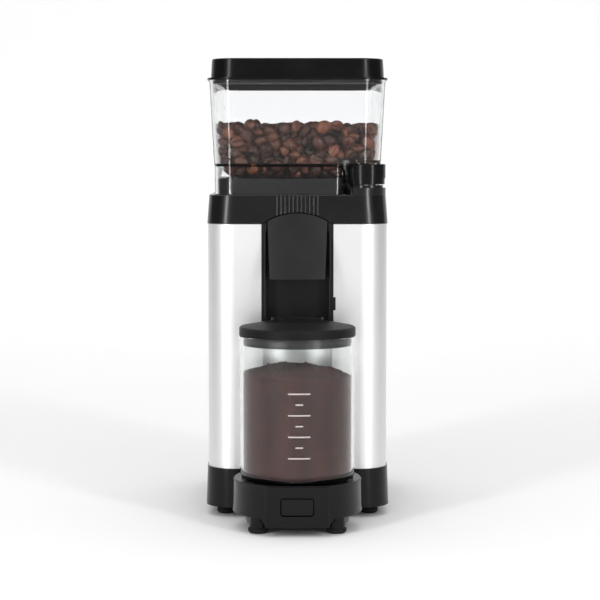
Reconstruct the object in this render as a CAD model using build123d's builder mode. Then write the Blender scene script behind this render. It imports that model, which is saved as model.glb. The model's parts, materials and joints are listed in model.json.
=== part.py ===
"""Upright burr coffee grinder with a clear bean hopper on top and a glass jar at the front.

Frame: +Z up, +X to the right as seen from the front, the front faces -Y. The origin is on the
surface that the feet stand on, under the centre of the outline. All sizes are in millimetres.
"""

from build123d import *

from math import atan2, cos, degrees, radians, sin, sqrt, tan
import os

# ---- Driving dimensions ------------------------------------------------------------------

OVERALL_DEPTH = 244.8  # front panel of the platform to the back of the base
SHELL_WIDTH = 133.3
SHELL_DEPTH = 166.5
SHELL_SHEET = 1.3
CORNER = 20.0  # vertical corner radius of the body
WALL = 2.4  # wall of the moulded housings
CLEAR = 0.3  # gap between pieces that are not fastened together

# Levels above the table
BASE_BOTTOM = 7.5
BASE_TOP = 36.5
SEAT_TOP = 34.1  # floor of the jar's seat
STRIP_TOP = 146.3
BAND_BOTTOM = 218.0
DECK_TOP = 239.5
PLINTH_TOP = 251.3
LEDGE = 261.3  # step where the hopper's box starts
HOPPER_TOP = 324.0
LID_TOP = 339.6

# Plan positions
FRONT_PANEL_Y = -OVERALL_DEPTH / 2
BASE_BACK_Y = OVERALL_DEPTH / 2
BASE_FLARE = 1.8  # how far the base's foot stands out from the shell
SHELL_BACK_Y = BASE_BACK_Y - BASE_FLARE
SHELL_FRONT_Y = SHELL_BACK_Y - SHELL_DEPTH
BODY_Y = (SHELL_FRONT_Y + SHELL_BACK_Y) / 2
BURR_Y = SHELL_FRONT_Y + 62.0  # axis of the burrs and the motor

# Jar and the concave channel that it nests in
JAR_RADIUS = 41.7
JAR_WALL = 2.4
JAR_TOP = 139.5
JAR_Y = SHELL_FRONT_Y - 34.4
CHANNEL_RADIUS = 43.4
CHANNEL_DEPTH = CHANNEL_RADIUS - (SHELL_FRONT_Y - JAR_Y)
CHANNEL_BACK_Y = SHELL_FRONT_Y + CHANNEL_DEPTH
SLOT_HALF = 26.6  # half the gap between the shell's front edges
PLATFORM_RADIUS = 46.3
SEAT_RADIUS = 40.6

# Chute
RAIL_INNER = 22.8
HOOD_HALF = 22.3
HOOD_BOTTOM = 178.6
HOOD_REACH = 22.0  # how far the hood's lower edge stands ahead of the shell
ARCH_RADIUS = 44.0
ARCH_TOP = 226.8
HOOD_SLOPE = HOOD_REACH / (ARCH_TOP - HOOD_BOTTOM)
HOOD_DRAW = 2.2  # how far each side draws in towards the bottom
HOOD_BOW = 2.6  # how far the hood's middle stands ahead of its sides

# Grind adjustment: a knob turns a large ring nut through a pinion
GEAR_MODULE = 1.0
RING_TEETH = 112
PINION_TEETH = 24
GEAR_CENTRES = GEAR_MODULE * (RING_TEETH + PINION_TEETH) / 2
KNOB_X = 51.2
KNOB_Y = BURR_Y - sqrt(GEAR_CENTRES**2 - KNOB_X**2)
KNOB_RADIUS = 14.25
KNOB_BOTTOM = 247.0
KNOB_TOP = 262.1
KNOB_PAD_TOP = 244.5

# Burrs and motor, from the top down
THROAT_RADIUS = 18.6
BURR_RADIUS = 24.5
BURR_THICKNESS = 6.0
BURR_GAP = 0.8
BURR_SCREW_CIRCLE = 20.5
LOWER_BURR_BOTTOM = 202.0
UPPER_BURR_BOTTOM = LOWER_BURR_BOTTOM + BURR_THICKNESS + BURR_GAP
CARRIER_RADIUS = 31.0
CHAMBER_INNER = 33.0
CHAMBER_OUTER = 36.5
PLATE_TOP = 190.0
PLATE_THICKNESS = 4.0
PLATE_BOTTOM = PLATE_TOP - PLATE_THICKNESS
CHAMBER_TOP = 224.0
MOTOR_RADIUS = 40.0
MOTOR_BOTTOM = 76.0
SHAFT_RADIUS = 4.0
MOTOR_SCREW_CIRCLE = 27.0

POSTS = [(-58.0, -8.0), (58.0, -8.0), (-58.0, 80.0), (58.0, 80.0)]
POST_RADIUS = 3.5
POST_FOOT = 30.0

# Switch panel
BUTTON_WIDTH = 22.9
BUTTON_HEIGHT = 12.0
BUTTON_Z = 21.5
BUTTON_TRAVEL = 2.5

# Feet
FOOT_RADIUS = 7.1
PLATFORM_FEET = [(-28.0, -103.0), (28.0, -103.0)]
BODY_FEET = [(-53.5, -24.5), (53.5, -24.5), (-53.5, 98.0), (53.5, 98.0)]

SENSOR_Z = 56.0
CORD_Z = 22.0


# ---- Shared shapes -----------------------------------------------------------------------


def rounded_loft(levels, centre_y=BODY_Y):
    """A block lofted through rounded rectangles: each level is (z, width, depth, radius)."""
    with BuildPart() as block:
        for z, width, depth, radius in levels:
            with BuildSketch(Plane((0, centre_y, z))):
                RectangleRounded(width, depth, radius)
        loft(ruled=True)
    return block.part


def rounded_ring(bottom, top, width, depth, radius, wall, centre_y=BODY_Y):
    """A vertical-walled frame with a rounded rectangular outline."""
    with BuildPart() as ring:
        with BuildSketch(Plane((0, centre_y, bottom))):
            RectangleRounded(width, depth, radius)
            RectangleRounded(width - 2 * wall, depth - 2 * wall, radius - wall, mode=Mode.SUBTRACT)
        extrude(amount=top - bottom)
    return ring.part


def disc(x, y, bottom, top, radius, hole=0.0):
    """A round bar or, with a hole, a tube, standing upright."""
    with BuildPart() as bar:
        with BuildSketch(Plane((x, y, bottom))):
            Circle(radius)
            if hole:
                Circle(hole, mode=Mode.SUBTRACT)
        extrude(amount=top - bottom)
    return bar.part


def block(x0, x1, y0, y1, z0, z1):
    """A rectangular block between two corners."""
    with BuildPart() as bar:
        with BuildSketch(Plane(((x0 + x1) / 2, (y0 + y1) / 2, z0))):
            Rectangle(x1 - x0, y1 - y0)
        extrude(amount=z1 - z0)
    return bar.part


def arch_prism(radius, front_y, back_y, bottom):
    """The space under the band's arch, less whatever the radius leaves as a gap."""
    gap = ARCH_RADIUS - radius
    with BuildPart() as prism:
        with BuildSketch(Plane.XZ.offset(-front_y)):
            with Locations((0, ARCH_TOP - ARCH_RADIUS)):
                Circle(radius)
            with Locations((0, bottom)):
                half = SLOT_HALF - gap
                Rectangle(2 * half, 2 * (ARCH_TOP - bottom), mode=Mode.INTERSECT)
            with Locations((0, bottom - ARCH_RADIUS)):
                Rectangle(4 * ARCH_RADIUS, 2 * ARCH_RADIUS, mode=Mode.SUBTRACT)
        extrude(amount=front_y - back_y)
    return prism.part


def gear_outline(teeth, pitch_radius, tooth_share=0.42):
    """Corner points of a spur gear with straight flanks, one tooth centred on angle 0."""
    addendum = 0.9 * GEAR_MODULE
    dedendum = 1.25 * GEAR_MODULE
    pitch_angle = 360 / teeth
    flank = degrees(tan(radians(20)) / pitch_radius)
    points = []
    for tooth in range(teeth):
        centre = tooth * pitch_angle
        half = tooth_share * pitch_angle / 2
        root_half = half + flank * dedendum
        tip_half = half - flank * addendum
        for reach, offset in (
            (-dedendum, -root_half),
            (addendum, -tip_half),
            (addendum, tip_half),
            (-dedendum, root_half),
        ):
            angle = radians(centre + offset)
            reach_radius = pitch_radius + reach
            points.append((reach_radius * cos(angle), reach_radius * sin(angle)))
    return points


def gear_blank(x, y, bottom, top, teeth, turned):
    """A spur gear on an upright axis, with one tooth pointing at the angle turned."""
    with BuildPart() as gear:
        with BuildSketch(Plane((x, y, bottom)).rotated((0, 0, turned))):
            with BuildLine():
                Polyline(*gear_outline(teeth, GEAR_MODULE * teeth / 2), close=True)
            make_face()
        extrude(amount=top - bottom)
    return gear.part


def burr_axis_points(count, radius, first=0.0):
    """Points spread evenly on a circle about the burrs' axis, the first at the angle given."""
    angles = [radians(first + 360 * index / count) for index in range(count)]
    return [(radius * cos(angle), BURR_Y + radius * sin(angle)) for angle in angles]


def screw(x, y, head_z, length, radius=1.6, head_radius=3.1, head_height=1.8, up=True):
    """A pan-head screw with a cross recess. Its shank points up, or down if up is False."""
    direction = 1 if up else -1
    with BuildPart() as fastener:
        with BuildSketch(Plane((x, y, head_z), z_dir=(0, 0, direction))):
            Circle(head_radius)
        extrude(amount=head_height)
        with BuildSketch(Plane((x, y, head_z + direction * head_height), z_dir=(0, 0, direction))):
            Circle(radius)
        extrude(amount=length)
        with BuildSketch(Plane((x, y, head_z), z_dir=(0, 0, direction))):
            Rectangle(head_radius, head_radius / 4)
            Rectangle(head_radius / 4, head_radius)
        extrude(amount=head_height / 2, mode=Mode.SUBTRACT)
    return fastener.part


def switch_face(depth):
    """A plane parallel to the front panel, at a depth behind it, centred on the button."""
    return Plane((0, FRONT_PANEL_Y + depth, BUTTON_Z), x_dir=(1, 0, 0), z_dir=(0, -1, 0))


# ---- Base --------------------------------------------------------------------------------

base_height = BASE_TOP - BASE_BOTTOM
base_draft = degrees(atan2(1.0, base_height))
base_width = SHELL_WIDTH + 2 * BASE_FLARE
base_depth = SHELL_DEPTH + 2 * BASE_FLARE
tier_z = 12.9  # lower edge of the platform's wide tier
panel_depth = 6.0
panel_bottom = 7.2
flat_half = 22.9
plate_thickness = 2.0
plate_top = BASE_BOTTOM + plate_thickness
body_inner_width = base_width - 2 * WALL - 2
body_inner_depth = base_depth - 2 * WALL - 2
body_inner_corner = CORNER - WALL + 1
tier_radius = 39.8
tier_foot_radius = 37.0
tier_bottom = 4.5  # the platform's narrow tier reaches below the body
tier_draft = degrees(atan2(tier_radius - tier_foot_radius, tier_z - tier_bottom))
rim_chamfer = 0.8
panel_proud = 0.8
platform_bore = 32.5
platform_radius_low = PLATFORM_RADIUS + 0.5
platform_draft = degrees(atan2(0.5, BASE_TOP - tier_z))


def platform_cylinder(radius, bottom, top, draft=0.0, front=FRONT_PANEL_Y):
    """A round block on the jar's axis, cut flat at the front."""
    with BuildPart() as cylinder:
        with BuildSketch(Plane((0, JAR_Y, bottom))):
            Circle(radius)
        extrude(amount=top - bottom, taper=draft)
        add(block(-60, 60, front - 60, front, bottom - 1, top + 1), mode=Mode.SUBTRACT)
    return cylinder.part


def platform_outside(grow=0.0):
    """The platform's wide tier, cut flat at the front, with a bevelled top rim."""
    flat = FRONT_PANEL_Y + panel_proud - grow
    rim_bottom = BASE_TOP - rim_chamfer
    with BuildPart() as platform:
        add(platform_cylinder(platform_radius_low + grow, tier_z, rim_bottom, platform_draft, flat))
        add(platform_cylinder(PLATFORM_RADIUS + grow, rim_bottom, BASE_TOP, 45.0, flat))
    return platform.part


with BuildPart() as base_housing:
    with BuildSketch(Plane((0, BODY_Y, BASE_BOTTOM))):
        RectangleRounded(base_width, base_depth, CORNER + BASE_FLARE)
    extrude(amount=base_height, taper=base_draft)
    with BuildSketch(Plane((0, BODY_Y, BASE_BOTTOM))):
        RectangleRounded(body_inner_width, body_inner_depth, body_inner_corner)
    extrude(amount=base_height + 1, mode=Mode.SUBTRACT)
    # The platform fits into the front wall
    add(disc(0, JAR_Y, tier_z, BASE_TOP + 1, platform_radius_low), mode=Mode.SUBTRACT)
    add(disc(0, JAR_Y, BASE_BOTTOM - 1, tier_z, tier_radius), mode=Mode.SUBTRACT)
    # Corner bosses that the frame's posts stand on, tied to the side walls
    for x, y in POSTS:
        side = 1 if x > 0 else -1
        wall_x = side * (base_width / 2 - 0.8 * WALL)
        add(disc(x, y, plate_top, POST_FOOT, 6.0))
        add(block(min(x, wall_x), max(x, wall_x), y - 1.5, y + 1.5, plate_top, POST_FOOT))
        add(disc(x, y, plate_top - 1, plate_top + 8, 1.65), mode=Mode.SUBTRACT)
    # Cord inlet at the back
    with BuildSketch(Plane((0, BASE_BACK_Y, CORD_Z), x_dir=(-1, 0, 0), z_dir=(0, 1, 0))):
        Circle(8.2)
    extrude(amount=-1.6, mode=Mode.SUBTRACT)
    with BuildSketch(Plane((0, BASE_BACK_Y, CORD_Z), x_dir=(-1, 0, 0), z_dir=(0, 1, 0))):
        Circle(6.0)
    extrude(amount=-12, mode=Mode.SUBTRACT)

with BuildPart() as platform_housing:
    add(platform_outside())
    with BuildSketch(Plane((0, JAR_Y, tier_bottom))):
        Circle(tier_foot_radius)
    extrude(amount=tier_z - tier_bottom, taper=-tier_draft)
    for x, y in PLATFORM_FEET:
        add(disc(x, y, tier_bottom, tier_z + 1, FOOT_RADIUS - 0.8))
    panel_back = FRONT_PANEL_Y + panel_depth
    with BuildPart(mode=Mode.PRIVATE) as panel:
        panel_rim = BASE_TOP - rim_chamfer
        add(block(-flat_half, flat_half, FRONT_PANEL_Y, panel_back, panel_bottom, panel_rim))
        chamfer(panel.edges().filter_by(Axis.Z).group_by(Axis.Y)[0], panel_proud - 0.1)
    add(panel.part)
    # Hollow from below, with a wall behind the switch panel
    add(platform_cylinder(platform_bore, tier_bottom, tier_z + 4), mode=Mode.SUBTRACT)
    inner_radius = PLATFORM_RADIUS - WALL
    add(
        platform_cylinder(inner_radius, tier_z + WALL, SEAT_TOP - WALL, 0.0, panel_back + 0.5),
        mode=Mode.SUBTRACT,
    )
    # The jar's seat
    add(disc(0, JAR_Y, SEAT_TOP, BASE_TOP + 1, SEAT_RADIUS), mode=Mode.SUBTRACT)
    # Wires pass back into the body
    add(block(-18, 18, JAR_Y + 38, JAR_Y + 60, 14, 26), mode=Mode.SUBTRACT)
    # Switch opening, wider behind the panel's face for the sleeve
    with BuildSketch(switch_face(0)):
        RectangleRounded(BUTTON_WIDTH + 1.2, BUTTON_HEIGHT + 1.2, 2.6)
    extrude(amount=-3, mode=Mode.SUBTRACT)
    with BuildSketch(switch_face(1.5)):
        RectangleRounded(BUTTON_WIDTH + 3, BUTTON_HEIGHT + 3, 2.4)
    extrude(amount=-12, mode=Mode.SUBTRACT)

with BuildPart() as base_plate:
    with BuildSketch(Plane((0, BODY_Y, BASE_BOTTOM))):
        RectangleRounded(
            body_inner_width - 2 * CLEAR, body_inner_depth - 2 * CLEAR, body_inner_corner
        )
    extrude(amount=plate_thickness)
    # Cooling slots
    for x in (-30, -18, -6, 6, 18, 30):
        slot = block(x - 1.5, x + 1.5, BODY_Y + 25, BODY_Y + 65, BASE_BOTTOM - 1, plate_top + 1)
        add(slot, mode=Mode.SUBTRACT)
    for x, y in POSTS:
        add(disc(x, y, BASE_BOTTOM - 1, plate_top + 1, 1.8), mode=Mode.SUBTRACT)
    add(disc(0, JAR_Y, BASE_BOTTOM - 1, plate_top + 1, tier_radius + CLEAR), mode=Mode.SUBTRACT)

with BuildPart() as platform_plate:
    add(disc(0, JAR_Y, tier_bottom, tier_bottom + plate_thickness, platform_bore - CLEAR))


def rubber_foot(x, y, top):
    """A short waisted foot with a recessed middle, standing on the table."""
    with BuildPart() as foot:
        with BuildSketch(Plane.XZ.offset(-y)):
            with BuildLine():
                Polyline(
                    (x, 0.8),
                    (x + 3.0, 0.8),
                    (x + 3.4, 0),
                    (x + FOOT_RADIUS - 1.4, 0),
                    (x + FOOT_RADIUS, 1.4),
                    (x + FOOT_RADIUS, 3.2),
                    (x + FOOT_RADIUS - 0.8, 4.2),
                    (x + FOOT_RADIUS - 0.8, top),
                    (x, top),
                    close=True,
                )
            make_face()
        revolve(axis=Axis((x, y, 0), (0, 0, 1)))
    return foot.part


with BuildPart() as platform_feet:
    for x, y in PLATFORM_FEET:
        add(rubber_foot(x, y, tier_bottom))

with BuildPart() as body_feet:
    for x, y in BODY_FEET:
        add(rubber_foot(x, y, BASE_BOTTOM))

with BuildPart() as base_screws:
    for x, y in POSTS:
        add(screw(x, y, BASE_BOTTOM - 1.8, 8.0, radius=1.6))

# ---- Switch ------------------------------------------------------------------------------


with BuildPart() as switch_sleeve:
    with BuildSketch(switch_face(7.0)):
        RectangleRounded(BUTTON_WIDTH + 2.7, BUTTON_HEIGHT + 2.7, 2.3)
        RectangleRounded(BUTTON_WIDTH + 0.9, BUTTON_HEIGHT + 0.9, 2.0, mode=Mode.SUBTRACT)
    extrude(amount=5.4)

with BuildPart() as start_button:
    with BuildSketch(switch_face(6.0)):
        RectangleRounded(BUTTON_WIDTH, BUTTON_HEIGHT, 2.0)
    extrude(amount=5.6)
    fillet(start_button.faces().sort_by(Axis.Y)[0].edges(), 0.6)
    with BuildSketch(switch_face(9.4)):
        Circle(2.0)
    extrude(amount=4.0)

with BuildPart() as start_switch:
    with BuildSketch(switch_face(26.0)):
        RectangleRounded(20, 12, 1.0)
    extrude(amount=12.6)
    with BuildSketch(switch_face(13.4)):
        Circle(1.6)
    extrude(amount=1.2)

# ---- Cord grommet ------------------------------------------------------------------------

grommet_bore = 3.6
with BuildPart() as cord_grommet:
    with BuildSketch(Plane((0, BASE_BACK_Y - 1.6, CORD_Z), x_dir=(-1, 0, 0), z_dir=(0, 1, 0))):
        Circle(7.9)
    extrude(amount=1.1)
    with BuildSketch(Plane((0, BASE_BACK_Y - 1.6, CORD_Z), x_dir=(-1, 0, 0), z_dir=(0, 1, 0))):
        Circle(5.9)
    extrude(amount=-6.4)
    with BuildSketch(Plane((0, BASE_BACK_Y - 8.0, CORD_Z), x_dir=(-1, 0, 0), z_dir=(0, 1, 0))):
        Circle(7.4)
    extrude(amount=2.6)
    with BuildSketch(Plane((0, BASE_BACK_Y, CORD_Z), x_dir=(-1, 0, 0), z_dir=(0, 1, 0))):
        Circle(grommet_bore)
    extrude(amount=-12, mode=Mode.SUBTRACT)

# ---- Body shell and front ----------------------------------------------------------------

with BuildPart() as outer_shell:
    with BuildSketch(Plane((0, BODY_Y, BASE_TOP))):
        RectangleRounded(SHELL_WIDTH, SHELL_DEPTH, CORNER)
        RectangleRounded(
            SHELL_WIDTH - 2 * SHELL_SHEET,
            SHELL_DEPTH - 2 * SHELL_SHEET,
            CORNER - SHELL_SHEET,
            mode=Mode.SUBTRACT,
        )
        with Locations((0, -SHELL_DEPTH / 2)):
            Rectangle(2 * SLOT_HALF, 4 * SHELL_SHEET, mode=Mode.SUBTRACT)
        # The front edges are folded back into the body
        fold = 5.0
        for side in (-1, 1):
            with Locations((side * (SLOT_HALF + SHELL_SHEET / 2), -SHELL_DEPTH / 2 + fold / 2)):
                Rectangle(SHELL_SHEET, fold)
    extrude(amount=BAND_BOTTOM - BASE_TOP)

with BuildPart() as front_strip:
    with BuildSketch(Plane((0, JAR_Y, BASE_TOP))):
        Circle(CHANNEL_RADIUS + 1.2)
        Circle(CHANNEL_RADIUS, mode=Mode.SUBTRACT)
        with Locations((0, SHELL_FRONT_Y - JAR_Y + 20)):
            Rectangle(2 * (SLOT_HALF - 0.2), 40, mode=Mode.INTERSECT)
    extrude(amount=STRIP_TOP - BASE_TOP)
    with BuildSketch(Plane((0, CHANNEL_BACK_Y + 5, SENSOR_Z), x_dir=(1, 0, 0), z_dir=(0, -1, 0))):
        Circle(3.4)
    extrude(amount=20, mode=Mode.SUBTRACT)

panel_back_y = CHANNEL_BACK_Y + 2.0
housing_front_wall_y = SHELL_FRONT_Y + 2.9  # back of the top housing's front wall, with a gap
panel_top = 227.4
window_half = 13.0
window_bottom = 194.0
window_top = 213.0
rail_bead = 0.95
bead_bottom = 150.5
bead_top = 212.0
with BuildPart() as chute_panel:
    panel_half = SLOT_HALF - 0.2
    add(block(-panel_half, panel_half, SHELL_FRONT_Y, panel_back_y, STRIP_TOP, BAND_BOTTOM - CLEAR))
    add(block(-panel_half, panel_half, housing_front_wall_y, panel_back_y, BAND_BOTTOM - 1, panel_top))
    add(arch_prism(ARCH_RADIUS - 0.8, SHELL_FRONT_Y, housing_front_wall_y + 1, BAND_BOTTOM - 1))
    channel = block(
        -RAIL_INNER, RAIL_INNER, SHELL_FRONT_Y - 5, CHANNEL_BACK_Y, STRIP_TOP - 1, panel_top + 1
    )
    add(channel, mode=Mode.SUBTRACT)
    # A raised bead runs down each rail
    for side in (-1, 1):
        bead_x = side * (RAIL_INNER + rail_bead)
        add(disc(bead_x, SHELL_FRONT_Y, bead_bottom, bead_top, rail_bead))
    window = block(
        -window_half, window_half, CHANNEL_BACK_Y - 1, panel_back_y + 1, window_bottom, window_top
    )
    add(window, mode=Mode.SUBTRACT)
    # A small clip that holds the shell's edge on the right
    add(block(SLOT_HALF - 1.6, SLOT_HALF + 1.5, SHELL_FRONT_Y - 0.7, SHELL_FRONT_Y, 154.6, 164.2))


def hood_block(inset, top):
    """The sloping block of the chute's hood, made smaller on the front and sides by inset."""
    half = HOOD_HALF - inset
    front = SHELL_FRONT_Y - HOOD_REACH + inset
    side = front + HOOD_BOW
    back = CHANNEL_BACK_Y + 40
    with BuildPart() as hood:
        with BuildSketch(Plane((0, 0, HOOD_BOTTOM))):
            with BuildLine():
                ThreePointArc((-half, side), (0, front), (half, side))
                Line((half, side), (half, back))
                Line((half, back), (-half, back))
                Line((-half, back), (-half, side))
            make_face()
        rise = top - HOOD_BOTTOM
        run = Vector(0, HOOD_SLOPE * rise, rise)
        extrude(amount=run.length, dir=run.normalized())
        behind = block(-60, 60, CHANNEL_BACK_Y - inset / 100, 90, HOOD_BOTTOM - 1, top + 1)
        add(behind, mode=Mode.SUBTRACT)
        # The sides draw in towards the bottom
        low_half = half - HOOD_DRAW
        with BuildPart(mode=Mode.PRIVATE) as funnel_sides:
            with BuildSketch(Plane.XZ.offset(-CHANNEL_BACK_Y - 50)):
                with BuildLine():
                    Polyline(
                        (-half, ARCH_TOP + 1),
                        (-low_half, HOOD_BOTTOM - 1),
                        (low_half, HOOD_BOTTOM - 1),
                        (half, ARCH_TOP + 1),
                        close=True,
                    )
                make_face()
            extrude(amount=100)
        add(funnel_sides.part, mode=Mode.INTERSECT)
    return hood.part


hood_wall = 2.0
with BuildPart() as chute_hood:
    add(hood_block(0, ARCH_TOP))
    add(hood_block(hood_wall, ARCH_TOP - 4), mode=Mode.SUBTRACT)
    under_arch = arch_prism(ARCH_RADIUS - 0.8, SHELL_FRONT_Y - 40, 0, HOOD_BOTTOM - 1)
    add(under_arch, mode=Mode.INTERSECT)
    # The back is open where the grounds come through the panel
    back_opening = block(
        -window_half, window_half, CHANNEL_BACK_Y - 6, CHANNEL_BACK_Y + 6, HOOD_BOTTOM - 1, window_top
    )
    add(back_opening, mode=Mode.SUBTRACT)

# ---- Top housing -------------------------------------------------------------------------

band_bottom_width = SHELL_WIDTH + 1.1
band_bottom_depth = SHELL_DEPTH + 1.1
band_top_width = 131.5
band_top_depth = SHELL_DEPTH - 1.7
plinth_width = 118.4
plinth_depth = band_top_depth - (band_top_width - plinth_width)
plinth_corner = 14.0
plinth_wall = 2.4
deck_thickness = 2.5
skirt_wall = 2.1  # the hopper's skirt hangs round the plinth
bay_reach = KNOB_RADIUS + 1.2  # from the knob's axis to the hopper's skirt beside it
plinth_bay = bay_reach + skirt_wall + CLEAR
bay_size = 80.0


def band_block(grow, bottom, top):
    """The band's drafted outside with a bevelled top, made larger all round by grow."""
    bevel = 0.6
    return rounded_loft(
        [
            (bottom, band_bottom_width + 2 * grow, band_bottom_depth + 2 * grow, CORNER + grow),
            (top - bevel, band_top_width + 2 * grow, band_top_depth + 2 * grow, CORNER + grow),
            (
                top,
                band_top_width + 2 * grow - 2 * bevel,
                band_top_depth + 2 * grow - 2 * bevel,
                CORNER + grow - bevel,
            ),
        ]
    )


def bay_prism(reach, bottom, top):
    """The space round the knob, open to the front and the right, out to a reach from its axis."""
    with BuildPart() as bay:
        with BuildSketch(Plane((0, 0, bottom))):
            with Locations((KNOB_X - reach + bay_size / 2, KNOB_Y + reach - bay_size / 2)):
                RectangleRounded(bay_size, bay_size, reach)
        extrude(amount=top - bottom)
    return bay.part


def plinth_prism(grow, bottom, top):
    """The plinth's plan with its bay for the knob, made larger all round by grow."""
    reach = plinth_bay - grow
    half_width = plinth_width / 2 + grow
    half_depth = plinth_depth / 2 + grow
    with BuildPart() as prism:
        with BuildSketch(Plane((0, 0, bottom))) as outline:
            with Locations((0, BODY_Y)):
                RectangleRounded(2 * half_width, 2 * half_depth, plinth_corner + grow)
            with Locations((KNOB_X - reach + bay_size / 2, KNOB_Y + reach - bay_size / 2)):
                RectangleRounded(bay_size, bay_size, reach, mode=Mode.SUBTRACT)
            front = outline.vertices().sort_by_distance((KNOB_X - reach, BODY_Y - half_depth, 0))[0]
            right = outline.vertices().sort_by_distance((half_width, KNOB_Y + reach, 0))[0]
            fillet([front, right], 6.0 + grow)
        extrude(amount=top - bottom)
    return prism.part


def knob_pad(grow, bottom, top):
    """The raised pad round the knob at the front right corner, made larger all round by grow."""
    half = KNOB_RADIUS + 6.0 + grow
    with BuildPart() as pad:
        with BuildSketch(Plane((0, 0, bottom))):
            with Locations((KNOB_X, KNOB_Y)):
                Circle(KNOB_RADIUS + 1.4 + grow)
            with Locations((KNOB_X + 10, KNOB_Y - 10)):
                RectangleRounded(2 * half, 2 * half, 6.0)
            with Locations((0, BODY_Y)):
                outline = (band_top_width + 2 * grow, band_top_depth + 2 * grow)
                RectangleRounded(*outline, CORNER + grow, mode=Mode.INTERSECT)
        extrude(amount=top - bottom)
    return pad.part


rib_count = 11
rib_pitch = 3.0
rib_radius = 1.0
with BuildPart() as top_housing:
    add(band_block(0, BAND_BOTTOM, DECK_TOP))
    # The raised pad that the knob's neck stands on
    add(knob_pad(0, DECK_TOP - 1, KNOB_PAD_TOP))
    add(disc(KNOB_X, KNOB_Y, KNOB_PAD_TOP - 0.5, KNOB_BOTTOM - 0.6, 12.5))
    add(plinth_prism(0, DECK_TOP - 0.5, PLINTH_TOP))
    add(plinth_prism(-plinth_wall, DECK_TOP, PLINTH_TOP + 1), mode=Mode.SUBTRACT)
    # Hollow from below, up to the deck
    hollow_top = DECK_TOP - deck_thickness
    hollow = rounded_loft(
        [
            (BAND_BOTTOM, band_bottom_width - 2 * WALL, band_bottom_depth - 2 * WALL, CORNER - WALL),
            (hollow_top, band_top_width - 2 * WALL, band_top_depth - 2 * WALL, CORNER - WALL),
        ]
    )
    add(hollow, mode=Mode.SUBTRACT)
    # A lip that locates inside the shell, open at the front for the chute
    lip_width = SHELL_WIDTH - 2 * SHELL_SHEET - 2 * CLEAR
    lip_depth = SHELL_DEPTH - 2 * SHELL_SHEET - 2 * CLEAR
    with BuildPart(mode=Mode.PRIVATE) as lip:
        lip_corner = CORNER - SHELL_SHEET - CLEAR
        add(rounded_ring(BAND_BOTTOM - 4, BAND_BOTTOM + 1, lip_width, lip_depth, lip_corner, 2.2))
        gap_half = SLOT_HALF + 2.5
        gap = block(-gap_half, gap_half, SHELL_FRONT_Y - 5, SHELL_FRONT_Y + 12, 200, 230)
        add(gap, mode=Mode.SUBTRACT)
    add(lip.part)
    # Fine half-round ribs above the arch, leaning back with the band's draft
    rib_bottom = ARCH_TOP - 5
    rib_rise = DECK_TOP - 0.8 - rib_bottom
    lean = (band_bottom_depth - band_top_depth) / 2 / (DECK_TOP - BAND_BOTTOM)
    rib_y = BODY_Y - band_bottom_depth / 2 + lean * (rib_bottom - BAND_BOTTOM) + 0.15
    with BuildPart(mode=Mode.PRIVATE) as ribs:
        with BuildSketch(Plane((0, 0, rib_bottom))):
            for index in range(rib_count):
                with Locations(((index - (rib_count - 1) / 2) * rib_pitch, rib_y)):
                    Circle(rib_radius)
        run = Vector(0, lean * rib_rise, rib_rise)
        extrude(amount=run.length, dir=run.normalized())
    add(ribs.part)
    arch_back = housing_front_wall_y + 0.4
    add(arch_prism(ARCH_RADIUS, SHELL_FRONT_Y - 10, arch_back, BAND_BOTTOM - 5), mode=Mode.SUBTRACT)
    # Holes for the hopper's throat and the knob's shaft
    add(disc(0, BURR_Y, 200, DECK_TOP + 1, THROAT_RADIUS + 0.8), mode=Mode.SUBTRACT)
    add(disc(KNOB_X, KNOB_Y, 200, KNOB_BOTTOM, 3.05), mode=Mode.SUBTRACT)
    # Room for the pinion
    add(disc(KNOB_X, KNOB_Y, BAND_BOTTOM, DECK_TOP - deck_thickness, 13.6), mode=Mode.SUBTRACT)

# ---- Hopper, beans and lid ---------------------------------------------------------------

hopper_wall = 2.2
hopper_top_width = 130.9
hopper_top_depth = SHELL_DEPTH - 2.4
hopper_taper = 3.4  # how far each side comes in between the rim and the ledge
hopper_corner = 20.0
ledge_width = hopper_top_width - 2 * hopper_taper
ledge_depth = hopper_top_depth - 2 * hopper_taper
ledge_corner = 17.0
skirt_bottom = DECK_TOP + 0.4
pocket_top = KNOB_TOP + 0.7
throat_top = 244.0
throat_size = 2 * (THROAT_RADIUS + 1.0)
funnel_wall = 2.0
bed_rise = 1.0  # floor of the box over the ledge
bean_level = 293.5
FUNNEL_DROP = 9.5
FUNNEL_STEP = 12.0
throat_bottom = 237.6


def box_level(z, inset):
    """One level of the hopper's drafted box, brought in by inset: (z, width, depth, radius)."""
    up = (z - LEDGE) / (HOPPER_TOP - LEDGE)
    width = ledge_width + 2 * hopper_taper * up - 2 * inset
    depth = ledge_depth + 2 * hopper_taper * up - 2 * inset
    radius = ledge_corner + (hopper_corner - ledge_corner) * up - inset
    return (z, width, depth, radius)


def funnel(top_z, inset, bottom_z, bottom_inset):
    """The hopper's bed: steep from the ledge, then flatter to the throat over the burrs."""
    _, width, depth, radius = box_level(LEDGE, inset)
    size = throat_size - 2 * bottom_inset
    shoulder_z = top_z - FUNNEL_DROP
    shoulder = (width - 2 * FUNNEL_STEP, depth - 2 * FUNNEL_STEP, radius - 2)
    with BuildPart() as cone:
        with BuildSketch(Plane((0, BODY_Y, top_z))):
            RectangleRounded(width, depth, radius)
        with BuildSketch(Plane((0, BODY_Y, shoulder_z))):
            RectangleRounded(*shoulder)
        loft(ruled=True)
        with BuildSketch(Plane((0, BODY_Y, shoulder_z))):
            RectangleRounded(*shoulder)
        with BuildSketch(Plane((0, BURR_Y, bottom_z))):
            RectangleRounded(size, size, size / 2 - 1.0)
        loft(ruled=True)
    return cone.part


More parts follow.
